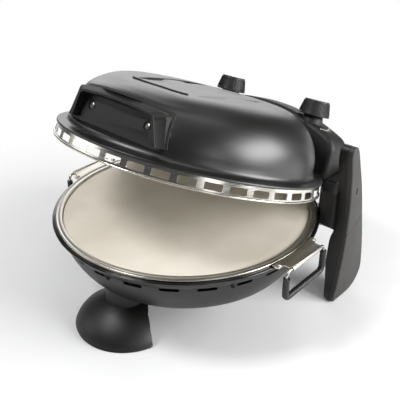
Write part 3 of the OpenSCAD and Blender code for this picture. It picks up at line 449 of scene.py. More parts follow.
def tube(name, points, radius, place, sides=20):
    """A round rod along a path. radius is a number or a function of the distance along it."""
    points = [Vector(p) for p in points]
    along, run = [0.0], 0.0
    for a, b in zip(points, points[1:]):
        run += (b - a).length
        along.append(run)
    loops, side = [], None
    for i, p in enumerate(points):
        ahead = (points[min(i + 1, len(points) - 1)] - points[max(i - 1, 0)]).normalized()
        if side is None:
            side = ahead.orthogonal().normalized()
        side = (side - ahead * side.dot(ahead)).normalized()
        other = ahead.cross(side)
        r = radius(along[i]) if callable(radius) else radius
        turns = [2 * math.pi * k / sides for k in range(sides)]
        loops.append([tuple(p + side * math.cos(a) * r + other * math.sin(a) * r) for a in turns])
    return lofted(name, loops, place, 40)


def bent(points, radius, steps=7):
    """A path of straight runs with its corners bent to a radius."""
    out = [Vector(points[0])]
    for i in range(1, len(points) - 1):
        a, p, b = Vector(points[i - 1]), Vector(points[i]), Vector(points[i + 1])
        u, v = (a - p).normalized(), (b - p).normalized()
        half = u.angle(v) / 2
        reach = radius / math.tan(half)
        middle = p + (u + v).normalized() * radius / math.sin(half)
        s, e = p + u * reach - middle, p + v * reach - middle
        turn = s.angle(e)
        for k in range(steps + 1):
            t = k / steps
            out.append(middle + (s * math.sin((1 - t) * turn) + e * math.sin(t * turn)) / math.sin(turn))
    out.append(Vector(points[-1]))
    return out


def settle(piece):
    """Replaces a piece's mesh by what its modifiers make, and removes them."""
    graph = bpy.context.evaluated_depsgraph_get()
    mesh = bpy.data.meshes.new_from_object(piece.evaluated_get(graph))
    piece.modifiers.clear()
    old, piece.data = piece.data, mesh
    mesh.name = piece.name
    bpy.data.meshes.remove(old)
    return piece


def merged(piece, partner, how):
    """Adds a second closed piece, cuts it away or keeps what both share, and drops the second."""
    step = piece.modifiers.new("merge", "BOOLEAN")
    step.operation, step.solver, step.object = how, "EXACT", partner
    settle(piece)
    bpy.data.objects.remove(partner)
    smoothed(piece.data)
    return piece


def carve(piece, cutter):
    """Cuts one closed piece out of another."""
    return merged(piece, cutter, "DIFFERENCE")


def soft_edges(piece, width, segments, angle):
    """Rounds the edges that are sharper than an angle."""
    edge = piece.modifiers.new("soft edges", "BEVEL")
    edge.width, edge.segments = width, segments
    edge.limit_method, edge.angle_limit = "ANGLE", math.radians(angle)
    return settle(piece)


def joined(name, pieces):
    """Makes one piece of several."""
    work = bmesh.new()
    for piece in pieces:
        work.from_mesh(piece.data)
        bpy.data.objects.remove(piece)
    mesh = bpy.data.meshes.new(name)
    work.to_mesh(mesh)
    work.free()
    made = object_from(name, mesh)
    smoothed(mesh)
    return made


def round_axis_tree():
    """Geometry Nodes: repeats a piece round the upright axis, makes it real and gives it its material."""
    tree = bpy.data.node_groups.new("repeat_round_axis", "GeometryNodeTree")
    face = tree.interface
    face.new_socket("Geometry", in_out="INPUT", socket_type="NodeSocketGeometry")
    face.new_socket("Count", in_out="INPUT", socket_type="NodeSocketInt")
    face.new_socket("Start angle", in_out="INPUT", socket_type="NodeSocketFloat")
    face.new_socket("Step angle", in_out="INPUT", socket_type="NodeSocketFloat")
    face.new_socket("Material", in_out="INPUT", socket_type="NodeSocketMaterial")
    face.new_socket("Geometry", in_out="OUTPUT", socket_type="NodeSocketGeometry")
    given = add(tree, "NodeGroupInput")
    spots = add(tree, "GeometryNodePoints", {"Count": given.outputs["Count"]})
    index = add(tree, "GeometryNodeInputIndex")
    angle = add(tree, "ShaderNodeMath", {0: index.outputs[0], 1: given.outputs["Step angle"],
                                        2: given.outputs["Start angle"]}, operation="MULTIPLY_ADD")
    turn = add(tree, "ShaderNodeCombineXYZ", {"Z": angle.outputs[0]})
    copies = add(tree, "GeometryNodeInstanceOnPoints",
                 {"Points": spots.outputs[0], "Instance": given.outputs["Geometry"],
                  "Rotation": turn.outputs[0]})
    real = add(tree, "GeometryNodeRealizeInstances", {"Geometry": copies.outputs[0]})
    welded = add(tree, "GeometryNodeMergeByDistance", {"Geometry": real.outputs[0], "Distance": 0.002})
    dressed = add(tree, "GeometryNodeSetMaterial",
                  {"Geometry": welded.outputs[0], "Material": given.outputs["Material"]})
    add(tree, "NodeGroupOutput", {"Geometry": dressed.outputs[0]})
    return tree


ROUND_AXIS = round_axis_tree()


def repeated(piece, count, start, material):
    """The piece repeated round the z axis of its own millimetre space."""
    change = piece.modifiers.new("repeat", "NODES")
    change.node_group = ROUND_AXIS
    values = {"Count": count, "Start angle": start, "Step angle": 2 * math.pi / count, "Material": material}
    for item in ROUND_AXIS.interface.items_tree:
        if item.in_out == "INPUT" and item.name in values:
            change[item.identifier] = values[item.name]
    return settle(piece)


def placed(piece, place, angle=32):
    """Moves a piece made in millimetres to its place in the frame."""
    for v in piece.data.vertices:
        v.co = place(v.co)
    work = bmesh.new()
    work.from_mesh(piece.data)
    bmesh.ops.recalc_face_normals(work, faces=work.faces)
    work.to_mesh(piece.data)
    work.free()
    smoothed(piece.data, angle)
    return piece


def dress(piece, node, *more, slot=None):
    """Gives a piece the body and the finish of the solid that it stands for, and hides that solid."""
    detail(piece, home[node], slot or slots[node])
    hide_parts(node, *more)
    return piece


def detail(piece, body, slot):
    """Gives a piece its body and its finish."""
    piece.data.materials.clear()
    piece.data.materials.append(finishes[slot])
    for face in piece.data.polygons:
        face.material_index = 0
    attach(piece, body)
    return piece


def softened(node, width, angle=30, segments=3):
    """A copy of a solid with its sharp edges rounded, standing for it."""
    mesh = frame["nodes"][node].data.copy()
    made = object_from(node + "_finish", mesh)
    work = bmesh.new()
    work.from_mesh(mesh)
    bmesh.ops.remove_doubles(work, verts=work.verts, dist=2e-6)
    bmesh.ops.dissolve_limit(work, angle_limit=math.radians(0.6), verts=work.verts, edges=work.edges)
    bmesh.ops.recalc_face_normals(work, faces=work.faces)
    for face in work.faces:
        face.smooth = True
    work.to_mesh(mesh)
    work.free()
    edge = made.modifiers.new("soft edges", "BEVEL")
    edge.width, edge.segments, edge.limit_method = width / 1000, segments, "ANGLE"
    edge.angle_limit, edge.use_clamp_overlap = math.radians(angle), True
    edge.miter_outer = "MITER_ARC"
    settle(made)
    smoothed(made.data, 40)
    return dress(made, node)


def smooth_outline(points, steps=5):
    """A soft closed curve through the points of an outline."""
    out, count = [], len(points)
    for i in range(count):
        a, b, c, d = (Vector(points[(i + k) % count]) for k in (-1, 0, 1, 2))
        for k in range(steps):
            t = k / steps
            out.append(tuple(0.5 * (2 * b + (c - a) * t + (2 * a - 5 * b + 4 * c - d) * t * t
                                    + (3 * b - a - 3 * c + d) * t ** 3)))
    return out


def cut_by_line(outline, a, b, keep_above):
    """The part of an outline above or below the line through a and b."""
    def side(p):
        value = (b[0] - a[0]) * (p[1] - a[1]) - (b[1] - a[1]) * (p[0] - a[0])
        return value if keep_above else -value
    out = []
    for i, p in enumerate(outline):
        q = outline[i - 1]
        sp, sq = side(p), side(q)
        if (sp > 0) != (sq > 0):
            t = sq / (sq - sp)
            out.append((q[0] + (p[0] - q[0]) * t, q[1] + (p[1] - q[1]) * t))
        if sp > 0:
            out.append(tuple(p))
    return out


def screw_head(r, h):
    """A pan head with a cross recess, standing on z = 0, in millimetres."""
    profile = [(0, 0), (r, 0), (r, h * 0.35)] + [(r * math.cos(a), h * 0.35 + h * 0.65 * math.sin(a))
                                                 for a in (0.3, 0.65, 1.0, 1.3)] + [(0, h)]
    head = lathe("head", profile, None, 28)
    for turn in (0, math.pi / 2):
        bar = slab("bar", [(-0.14 * r, -0.62 * r), (0.14 * r, -0.62 * r), (0.14 * r, 0.62 * r),
                           (-0.14 * r, 0.62 * r)], [(h * 0.45, 0), (h + 1, 0)], "xyz", None)
        bar.data.transform(Matrix.Rotation(turn + 0.35, 4, "Z"))
        carve(head, bar)
    return head


def box_cutter(low, high):
    """A block between two corners."""
    return slab("cutter", [(low[0], low[1]), (high[0], low[1]), (high[0], high[1]), (low[0], high[1])],
                [(low[2], 0), (high[2], 0)], "xyz", None)


# ---------------------------------------------------------------- base: rim, bowl and foot
rim = lathe("glossy_rim", eased([(157.1, -5.2), (167.0, -5.2)], 0.2, closed=False)
            + arc(166.4, -4.0, 1.2, -70, 90, 10) + [(164.3, -2.8), (157.6, -2.8), (157.1, -3.1)],
            on_base, RIM_SEGMENTS)
dress(rim, "base_rim")

bowl_outside = [(165.6, -5.2), (165.6, -6.8), (165.3, -7.6), (160.2, -14.2), (159.6, -14.6), (158.7, -14.8)]
bowl_outside += arc(62.64, 5.38, 98, -12, -39.5, 26) + arc(130.05, -51.19, 10, -41, -89, 9)
bowl_outside += [(118, -61.19), (60, -61.19), (0, -61.19)]
bowl_inside = [(0, -59.99), (60, -59.99), (118, -59.99)] + arc(130.05, -51.19, 8.8, -89, -41, 9)
bowl_inside += arc(62.64, 5.38, 96.8, -39.5, -12, 26)
bowl_inside += [(158.0, -14.2), (163.6, -7.2), (163.8, -6.4), (157.1, -6.4), (157.1, -5.2)]
bowl = lathe("bowl_blank", bowl_outside + bowl_inside, None, RIM_SEGMENTS)
vents = []
for i in range(VENTS):
    turn = VENT_PHASE + i * 360 / VENTS
    if abs(min(turn, 360 - turn) - BRACKET_TURN) <= BRACKET_ROOM:
        continue
    # a slot beside a skirt screw stops short of its head
    first, last = turn - VENT_HALF_ANGLE, turn + VENT_HALF_ANGLE
    for k in range(SKIRT_SCREWS):
        gap = (SKIRT_SCREW_PHASE + k * 360 / SKIRT_SCREWS - turn + 180) % 360 - 180
        if 0 <= gap < NEAR_SCREW:
            last = min(last, turn + gap - SCREW_ROOM)
        elif -NEAR_SCREW < gap < 0:
            first = max(first, turn + gap + SCREW_ROOM)
    reach = math.radians(last - first) / 2 * SKIRT_R
    blank = slab("vent", eased([(-reach, -2.2), (reach, -2.2), (reach, 2.2), (-reach, 2.2)], 2.1, 5),
                 [(146, 0), (168, 0)], "yzx", None)
    blank.data.transform(Matrix.Rotation(math.radians((first + last) / 2 - 90), 4, "Z")
                         @ Matrix.Translation((0, 0, VENT_Z)))
    vents.append(blank)
carve(bowl, joined("vents", vents))
carve(bowl, placed(lathe("gland_way", [(0, 0), (6.5, 0), (6.5, 60), (0, 60)], None, 32),
                   lambda p: Vector((p[0], 130 + p[2], -36 - p[1]))))
placed(bowl, on_base, 30)
bowl.name = "steel_bowl"
dress(bowl, "base_shell")

head = screw_head(2.9, 1.6)
head.data.transform(Matrix.Translation((158.7, 0, VENT_Z)) @ Matrix.Rotation(math.pi / 2, 4, "Y"))
skirt_heads = repeated(head, SKIRT_SCREWS, math.radians(SKIRT_SCREW_PHASE - 90), finishes["plain_steel"])
skirt_heads.name = "skirt_screw_heads"
placed(skirt_heads, on_base)
dress(skirt_heads, "skirt_screws")

bell = math.degrees(math.acos((24 / 64) ** 0.8))
bell_curve = [(64 * math.cos(math.radians(a)) ** 1.25, 40 * math.sin(math.radians(a)) ** 1.25 - 120)
              for a in [6 + (bell - 6) * i / 24 for i in range(25)]]


def bell_solid(grow, top):
    """Profile of the foot's bell with its neck."""
    curve = [(r + grow, z + grow) for r, z in bell_curve]
    return ([(0, FLOOR_Z), (64 + grow - 0.5, FLOOR_Z), (64 + grow, -118.0)] + curve
            + [(24 + grow, top), (0, top)])


foot = lathe("foot_blank", bell_solid(0, -61.25), None, 160)
carve(foot, lathe("foot_hollow", [(0, -130), (61, -130)] + bell_solid(-3, -66)[2:], None, 160))
foot.data.transform(Matrix.Translation((0, -108, 0)))
behind = [(-123, -130), (-123, FLOOR_Z), (-122, -113.5), (-117, -102.5), (-108, -92.5), (-98.5, -88),
          (-81, -83.5), (-30, -83.5), (-30, -130)]
carve(foot, slab("behind", behind, [(-80, 0), (80, 0)], "yzx", None))
soft_edges(foot, 0.8, 3, 35)
placed(foot, on_base, 40)
foot.name = "bell_foot"
dress(foot, "front_foot")

# ---------------------------------------------------------------- stone tray, stone, tabs and bails
tray_profile = [(140.2, -15.4), (156.5, -15.4), (156.5, -1.2), (161.1, -1.2), (161.6, -2.1), (161.9, -2.8)]
tray_profile += [(163.1, -2.8), (163.45, -2.1), (163.5, -1.4), (163.35, -0.7), (163.0, -0.2), (162.5, 0.0)]
tray_profile += [(161.9, -0.1), (161.2, -0.45), (160.2, -0.62), (159.4, -0.5), (158.9, -0.12), (158.3, 0.0),
                 (156.1, 0.0), (155.6, -0.12), (155.3, -0.5), (155.3, -14.2), (140.2, -14.2), (140, -14.8)]
tray = lathe("tray_ring", tray_profile, on_base, RIM_SEGMENTS, 40)
dress(tray, "stone_tray")
for name, place in (("right", on_right_tab), ("left", on_left_tab)):
    shelf = slab("tray_shelf_" + name, eased([(157, -38), (169.5, -38), (169.5, 38), (157, 38)], 2.0),
                 rounded(-2.6, -1.2, 0.2, 0.2), "xyz", None)
    carve(shelf, lathe("under_lip", [(0, -9), (156.2, -9), (156.2, 9), (0, 9)], None, RIM_SEGMENTS))
    placed(shelf, place)
    detail(shelf, "base", "tray_metal")

stone_profile = [(0, -14.2), (153.4, -14.2), (154.4, -13.6), (154.6, -13.0), (154.6, -4.0), (154.3, -3.1),
                 (153.6, -2.45), (152.6, -2.2)] + [(r, -2.2) for r in (140, 110, 80, 50, 20)] + [(0, -2.2)]
stone = lathe("baking_slab", stone_profile, on_base, 256)
dress(stone, "baking_stone")

plan = [(150, -38), (168.5, -38), (171, -30), (180, -30), (180, 30), (171, 30), (168.5, 38), (150, 38)]
for name, place in (("right", on_right_tab), ("left", on_left_tab)):
    plate = slab("tab", eased(plan, 3.0, 5), rounded(-1.2, 0.0, 0.15, 0.25), "xyz", None)
    carve(plate, lathe("lip_room", [(0, -9), (163.7, -9), (163.7, 9), (0, 9)], None, RIM_SEGMENTS))
    roll = lathe("roll", [(1.75, -28), (3.0, -28), (3.1, -27.8), (3.1, 27.8), (3.0, 28), (1.75, 28)],
                 None, 40)
    roll.data.transform(Matrix.Translation((ROLL_X, 0, ROLL_Z)) @ Matrix.Rotation(math.pi / 2, 4, "X"))
    # the plate runs into the roll, whose bore stays free for the wire
    joined_tab = joined("tab_plate_" + name, [plate, roll])
    placed(joined_tab, place)
    dress(joined_tab, "tray_tab_" + name)

    run = bent([(ROLL_X, y, z) for y, z in ((-18, ROLL_Z), (-BAIL_Y, ROLL_Z), (-BAIL_Y, BAIL_Z),
                                            (BAIL_Y, BAIL_Z), (BAIL_Y, ROLL_Z), (18, ROLL_Z))], 6)
    wire = tube("bail_wire_" + name + "_bent", run, 1.6, place)
    dress(wire, "bail_wire_" + name)
    inner = bent([(ROLL_X, y, z) for y, z in ((-BAIL_Y, -10), (-BAIL_Y, BAIL_Z), (BAIL_Y, BAIL_Z),
                                              (BAIL_Y, -10))], 6.5, 10)
    fine = []
    for a, b in zip(inner, inner[1:]):
        steps = max(1, round((b - a).length / 0.7))
        fine += [a.lerp(b, k / steps) for k in range(steps)]
    fine.append(inner[-1])
    # the rubber sleeve is ribbed for the fingers
    sleeve = tube("bail_sleeve_" + name + "_ribbed", fine,
                  lambda d: 3.5 + 0.4 * abs(math.cos(math.pi * d / 4.6)) ** 0.6, place, 24)
    dress(sleeve, "bail_sleeve_" + name)

rivets = []
for place in (on_right_tab, on_left_tab):
    for s in (-1, 1):
        rivet = lathe("rivet", [(0, -2.5), (1.55, -2.5), (1.55, 0), (2.9, 0.0), (3.0, 0.2)]
                      + [(3.0 * math.cos(a), 0.2 + 1.4 * math.sin(a)) for a in (0.25, 0.5, 0.8, 1.1, 1.35)]
                      + [(0, 1.6)],
                      lambda p, place=place, s=s: place((p[0] + 166.1, p[1] + s * 34, p[2])), 28)
        rivets.append(rivet)
dress(joined("tab_rivet_heads", rivets), "tab_rivets")

# ---------------------------------------------------------------- arms and their covers
arm_points = [(93, FLOOR_Z), (98, -92), (103, -62), (106, -30), (106, 15), (102, 55), (97, 84), (98.5, 93),
              (104, 96), (111, 91), (120, 66), (130, 36), (140, -5), (149, -45), (154, -76), (155, -92),
              (151, -103), (143, -112), (132, -117), (122, FLOOR_Z)]
arm_curve = [(y, max(z, FLOOR_Z)) for y, z in smooth_outline(arm_points)]
arm_curve = [p for i, p in enumerate(arm_curve) if (Vector(p) - Vector(arm_curve[i - 1])).length > 0.4]
inner_face = [(160.5, -130), (158.5, FLOOR_Z), (149.0, -72), (148.5, -56), (148.7, -40), (150.0, -32),
              (153, -24), (153, 70), (155, 97), (156, 110)]
SEAM_A, SEAM_B = (80, -41.2), (170, 11.2)
for name, place in (("right", on_base), ("left", mirrored(on_base))):
    core = slab("core", arm_curve, rounded(140, 165.3), "yzx", None)
    inside = eased(inner_face + [(130, 110), (130, -130)], 4.0, 4)
    carve(core, slab("inside", inside, [(60, 0), (190, 0)], "xzy", None))
    soft_edges(core, 1.6, 4, 40)
    placed(core, place, 40)
    core.name = "arm_body_" + name
    dress(core, "arm_core_" + name)
    upper = cut_by_line(arm_curve, (SEAM_A[0], SEAM_A[1] + 0.5), (SEAM_B[0], SEAM_B[1] + 0.5), True)
    lower = cut_by_line(arm_curve, SEAM_A, SEAM_B, False)
    high = slab("cover", upper, rounded(165.4, 172, 0.3, 1.8, 5), "yzx", None)
    carve(high, box_cutter((169, 116.2, 30.2), (174, 118.4, 38.8)))
    placed(high, place)
    high.name = "arm_cover_upper_" + name
    dress(high, "arm_upper_cover_" + name)
    low = slab("arm_cover_lower_" + name, lower, rounded(165.4, 172, 0.3, 1.8, 5), "yzx", place)
    dress(low, "arm_lower_cover_" + name)
    softened("hinge_bracket_" + name, 1.2)

# ---------------------------------------------------------------- lid: dome, band, strip
def dome_profile(grow):
    """The dome's outside, from the band's top to the crown."""
    points = [(0.0, 16.2), (163.2 + grow, 16.2), (163.4 + grow, 16.6), (163.4 + grow, 17.8)]
    points += [(r + grow, z + grow) for r, z in ((163.0, 18.6), (162.2, 18.9), (157.8, 19.5), (154.2, 20.1),
                                                 (152.3, 21.0), (150.6, 22.8), (149.75, 25.2))]
    points += arc(SHOULDER_X, SHOULDER_Z, SHOULDER_R + grow, 3.5, 86, 44)
    last = points[-1][0]
    for k in range(1, 97):
        t = k / 96
        r = last * (1 - t)
        points.append((r, DOME_H + CROWN * (1 - (r / last) ** 2) + grow - 0.15 * (1 - t)))
    return points


def inside_profile():
    """The room inside the dome."""
    points = [(0.0, 10.0), (147.6, 10.0), (147.6, 17.2), (148.3, 21)]
    points += arc(SHOULDER_X, SHOULDER_Z, SHOULDER_R - 1, 3.5, 86, 24)
    return points + [(60, DOME_H - 0.5), (20, DOME_H - 0.1), (0.0, DOME_H - 0.1)]


def pocket_y(z):
    """How far forward the dome's sloping seat for the handle lies at a height."""
    return -128.5 + (z - 26.5) / 6


def arched(half, low, corner, first, last, flat, top):
    """Upright outline with a straight foot, rounded upper corners and a slightly arched top. corner is the
    right corner's centre and radius, first and last are its arc's angles, and flat is a point on the top."""
    x, z, r = corner
    return ([(-half, low), (half, low)] + arc(x, z, r, first, last, 8) + [flat, (0, top), (-flat[0], flat[1])]
            + arc(-x, z, r, 180 - last, 180 - first, 8))


def handle_outline(grow):
    """Outline of the handle on the dome, narrower at its top."""
    return arched(78.5 + grow, 26.5 - grow, (62.5, 58.5, 9.2 + grow), 12, 78, (30, 71.05 + grow), 71.5 + grow)


def lip_outline(inset, low, spread=0.0):
    """Outline of the hood's lip, drawn in by an inset."""
    return arched(69.5 - inset + spread, low, (51, 53, 9 - inset), 14, 78, (25, 64.0 - inset), 64.5 - inset)


def prism(name, outline, low, high):
    """An upright outline pushed from one y to another."""
    return slab(name, outline, [(low, 0), (high, 0)], "xzy", None)


def pocket(grow):
    """The room that the handle takes in the dome, with its sloping back."""
    block = prism("pocket", handle_outline(0.2 + grow), -175, 0)
    for v in block.data.vertices:
        if v.co.y > -100:
            v.co.y = pocket_y(v.co.z) + grow
    return block


def smoothstep(low, high, value):
    """0 at low, 1 at high and a soft curve between; low may be the greater."""
    t = min(1.0, max(0.0, (value - low) / (high - low)))
    return t * t * (3 - 2 * t)


def scoop(x, y):
    """How far the top is pressed in at a point: two lens-shaped finger scoops."""
    t = (y + 5.5) / 66.5
    if abs(t) >= 1:
        return 0.0
    bulge = 1 - t * t
    outer, inner = 46 + 14 * bulge, 46 - 15 * bulge
    u = (abs(x) - inner) / (outer - inner)
    if u <= 0 or u >= 1:
        return 0.0
    shape = smoothstep(0, 0.8, u) if u < 0.8 else 1 - smoothstep(0.8, 1.0, u)
    return SCOOP_DEPTH * smoothstep(0, 0.5, bulge) * shape


def sunk(x, y):
    """How far the top's front falls away between its shoulders."""
    ahead = smoothstep(40, -88, y)
    return SINK * ahead * smoothstep(135, 20, abs(x)) * smoothstep(-145, -100, y)


def pressed(piece, with_scoops):
    """Lowers the front of the top, and presses the scoops in."""
    for v in piece.data.vertices:
        reach = math.hypot(v.co.x, v.co.y)
        if v.co.z > 62 and (reach < 135 or not with_scoops):
            depth = sunk(v.co.x, v.co.y) + (scoop(v.co.x, v.co.y) if with_scoops and reach < 95 else 0.0)
            v.co.z -= smoothstep(64, 80, v.co.z) * depth


dome = lathe("dome_blank", dome_profile(0), None, 320)
carve(dome, pocket(0))
room = lathe("dome_room", inside_profile(), None, 160)
carve(room, pocket(1.0))
carve(dome, room)
pressed(dome, True)
soft_edges(dome, 0.35, 2, 50)
placed(dome, on_lid, 32)
dome.name = "pressed_dome"
dress(dome, "lid_dome")

# a thin plain bar lying on the top's front edge
bar_section = ((-78.6, -0.8), (-78.6, 1.1), (-78.1, 1.5), (-75.3, 1.5), (-74.8, 1.1), (-74.8, -0.8))
bar_columns = [-44 + 85 * i / 24 for i in range(25)]
plate = lofted("plain_front_bar", [[(x, y, DOME_H + 0.25 - sunk(x, y) + lift) for y, lift in bar_section]
                                   for x in bar_columns], on_lid, 35)
dress(plate, "plain_name_strip")


def band_radius(z):
    """The band leans in a little towards its top."""
    return 163.6 - 2.2 * (z - 2) / 14


def slot_cell():
    """One of the band's slots with the sheet round it, as a closed piece of ring."""
    width = math.pi / BAND_SLOTS * BAND_R
    low, high, thick = 3.2, 15.7, 0.9
    slot = eased([(-9.75, 4.7), (9.75, 4.7), (9.75, 12.3), (-9.75, 12.3)], 1.6, 4)
    inner = []
    for i, p in enumerate(slot):
        q = slot[(i + 1) % len(slot)]
        runs = max(1, round((Vector(q) - Vector(p)).length / 2.6))
        inner += [(p[0] + (q[0] - p[0]) * k / runs, p[1] + (q[1] - p[1]) * k / runs) for k in range(runs)]
    outer = []
    for u, z in inner:
        du, dz = u, z - 8.5
        reach = min(width / max(abs(du), 1e-6), ((high - low) / 2) / max(abs(dz), 1e-6))
        if abs(du) * ((high - low) / 2) > abs(dz) * width:
            outer.append((math.copysign(width, du), 9.05 + dz * reach))
        else:
            outer.append((du * reach, high if dz > 0 else low))
    outer = [(u, min(high, max(low, z))) for u, z in outer]
    corners = [(sx * width, z) for sx in (-1, 1) for z in (low, high)]
    for corner in corners:
        nearest = min(range(len(outer)), key=lambda n: (Vector(outer[n]) - Vector(corner)).length)
        outer[nearest] = corner
    lip = [(u * 0.985, 8.5 + (z - 8.5) * 0.965) for u, z in inner]
    verts, faces = [], []

    def ring(loop, inset):
        first = len(verts)
        for u, z in loop:
            a, r = u / BAND_R, band_radius(z) - inset
            verts.append((r * math.cos(a), r * math.sin(a), z))
        return list(range(first, first + len(loop)))

    rings = [ring(outer, 0), ring(inner, 0), ring(lip, 0.22), ring(lip, thick), ring(outer, thick)]
    count = len(inner)
    for a, b in zip(rings, rings[1:]):
        for k in range(count):
            m = (k + 1) % count
            faces.append([a[k], a[m], b[m], b[k]])
    mesh = bpy.data.meshes.new("slot_cell")
    mesh.from_pydata(verts, [], faces)
    return object_from("slot_cell", mesh)


ring_of_slots = repeated(slot_cell(), BAND_SLOTS, math.radians(BAND_PHASE - 90), finishes["band_steel"])
foot_bead = lathe("bead", [(162.6, 3.4), (163.4, 3.4)] + arc(163.45, 2.1, 1.1, 60, -180, 18) + [(162.3, 2.4)],
                  None, 304)
top_ledge = lathe("ledge", [(160.65, 15.7), (161.45, 15.7), (161.4, 15.9), (161.2, 16.0), (156.4, 16.0),
                            (156.4, 15.2), (160.65, 15.2)], None, 304)
band = joined("slotted_band", [ring_of_slots, foot_bead, top_ledge])
placed(band, on_lid, 30)
dress(band, "lid_band")

# ---------------------------------------------------------------- front handle
def at_y(y, outline):
    """An upright outline set at a y."""
    return [(x, y, z) for x, z in outline]


def at_handle_screw(side, lift=0.0):
    """The place of a handle screw, square to the sloping panel."""
    return (Matrix.Translation((side * HANDLE_SCREW_X, pocket_y(HANDLE_SCREW_Z), HANDLE_SCREW_Z))
            @ Matrix.Rotation(math.radians(90) - math.atan(1 / 6), 4, "X") @ Matrix.Translation((0, 0, lift)))


hood = lofted("hood", [at_y(-112.0, handle_outline(-2.6)), at_y(-130.5, handle_outline(-2.6)),
                       at_y(-137.5, lip_outline(-0.25, HANDLE_LOW)),
                       at_y(LIP_Y, lip_outline(0.0, HANDLE_LOW))])
carve(hood, box_cutter((-90, -160, 0), (90, -60, HANDLE_LOW)))
panel = prism("panel", handle_outline(0), -132.3, -100)
for v in panel.data.vertices:
    if v.co.y < -120:
        v.co.y = pocket_y(v.co.z) - PANEL_T
merged(panel, lathe("dome_skin", dome_profile(0.3), None, 224), "INTERSECT")
surround = lathe("dome_skin", dome_profile(1.0), None, 224)
pressed(surround, False)
rim_ring = prism("ring", handle_outline(0), -150, -100)
carve(rim_ring, prism("ring_room", handle_outline(-2.4), -160, -90))
merged(rim_ring, surround, "INTERSECT")
carve(rim_ring, box_cutter((-90, -160, 0), (90, -60, HANDLE_LOW)))
merged(hood, panel, "UNION")
merged(hood, rim_ring, "UNION")
# the fingers' room, from its mouth back to the panel
lip_room = lip_outline(2.4, 8, 1.5)
panel_room = [(x, pocket_y(z) - PANEL_T, z) for x, z in arched(59, 8, (50, 49, 9), 0, 90, (25, 58), 58)]
carve(hood, lofted("recess", [at_y(-145.0, lip_room), at_y(LIP_Y, lip_room), panel_room]))
dome_block = lathe("dome_block", dome_profile(0.2), None, 224)
carve(dome_block, pocket(-0.4))
carve(hood, dome_block)
for side in (-1, 1):
    well = lathe("well", [(0, 2.6), (5.6, 2.6), (5.6, 20), (0, 20)], None, 40)
    hole = lathe("hole", [(0, -10), (2.1, -10), (2.1, 20), (0, 20)], None, 24)
    for cutter in (well, hole):
        cutter.data.transform(at_handle_screw(side))
        carve(hood, cutter)
soft_edges(hood, 0.7, 3, 38)
placed(hood, on_lid, 34)
hood.name = "handle_hood"
dress(hood, "front_handle")

handle_heads = []
for side in (-1, 1):
    head = screw_head(3.3, 1.7)
    stem = lathe("stem", [(0, -9.1), (1.95, -9.1), (1.95, 0), (0, 0)], None, 20)
    pair = joined("handle_screw", [head, stem])
    pair.data.transform(at_handle_screw(side, 2.6))
    handle_heads.append(pair)
dress(placed(joined("handle_screw_heads", handle_heads), on_lid), "handle_screws")

# ---------------------------------------------------------------- rear housing
def housing_outline(inset):
    """The housing's arch from behind: a wide arc run into upright ends by a tighter one."""
    corner, across = 23.0, 97.0
    middle = HOUSING_TOP - HOUSING_R
    up = math.sqrt((HOUSING_R - corner) ** 2 - across ** 2)
    lift, tilt = up + middle, math.degrees(math.atan2(up, across))
    return ([(-120 + inset, -60), (120 - inset, -60)] + arc(across, lift, corner - inset, 0, tilt, 14)
            + arc(0, middle, HOUSING_R - inset, tilt, 180 - tilt, 40)[1:-1]
            + arc(-across, lift, corner - inset, 180 - tilt, 180, 14))


def housing_block(inset):
    """The housing's outside, or with an inset the room inside its walls."""
    block = slab("housing", housing_outline(inset),
                 rounded(126 + inset, 178.5 - inset, 7 - inset / 2, 20 - inset, 10), "xzy", None)
    carve(block, box_cutter((-140, 100, -90), (140, 200, 9.0 if inset else 12.0)))
    return block


housing = housing_block(0)
carve(housing, housing_block(2.5))
bosses = []
for side in (-1, 1):
    bosses.append(lathe("boss", [(5.1, 72), (15.0, 72), (14.9, 76), (12.9, 84.7), (12.5, 85.2), (5.5, 85.2),
                                 (5.1, 84.8)], at_knob(side), 96))
    carve(housing, lathe("way", [(0, 60), (5.1, 60), (5.1, 100), (0, 100)], at_knob(side), 48))
carve(housing, lathe("dome_room", dome_profile(0.25), None, RIM_SEGMENTS))
carve(housing, lathe("flange_room", [(0, -20), (164, -20), (164, 20), (0, 20)], None, RIM_SEGMENTS))
for side in (-1, 1):
    carve(housing, lathe("pin_way", [(0, 105), (4.7, 105), (4.7, 130), (0, 130)],
                         lambda p, s=side: Vector((s * p[2], p[0] + HINGE_Y, p[1] + HINGE_Z)), 40))
soft_edges(housing, 0.5, 2, 55)
housing = joined("rear_cover", [housing] + bosses)
placed(housing, on_lid, 34)
dress(housing, "rear_housing")

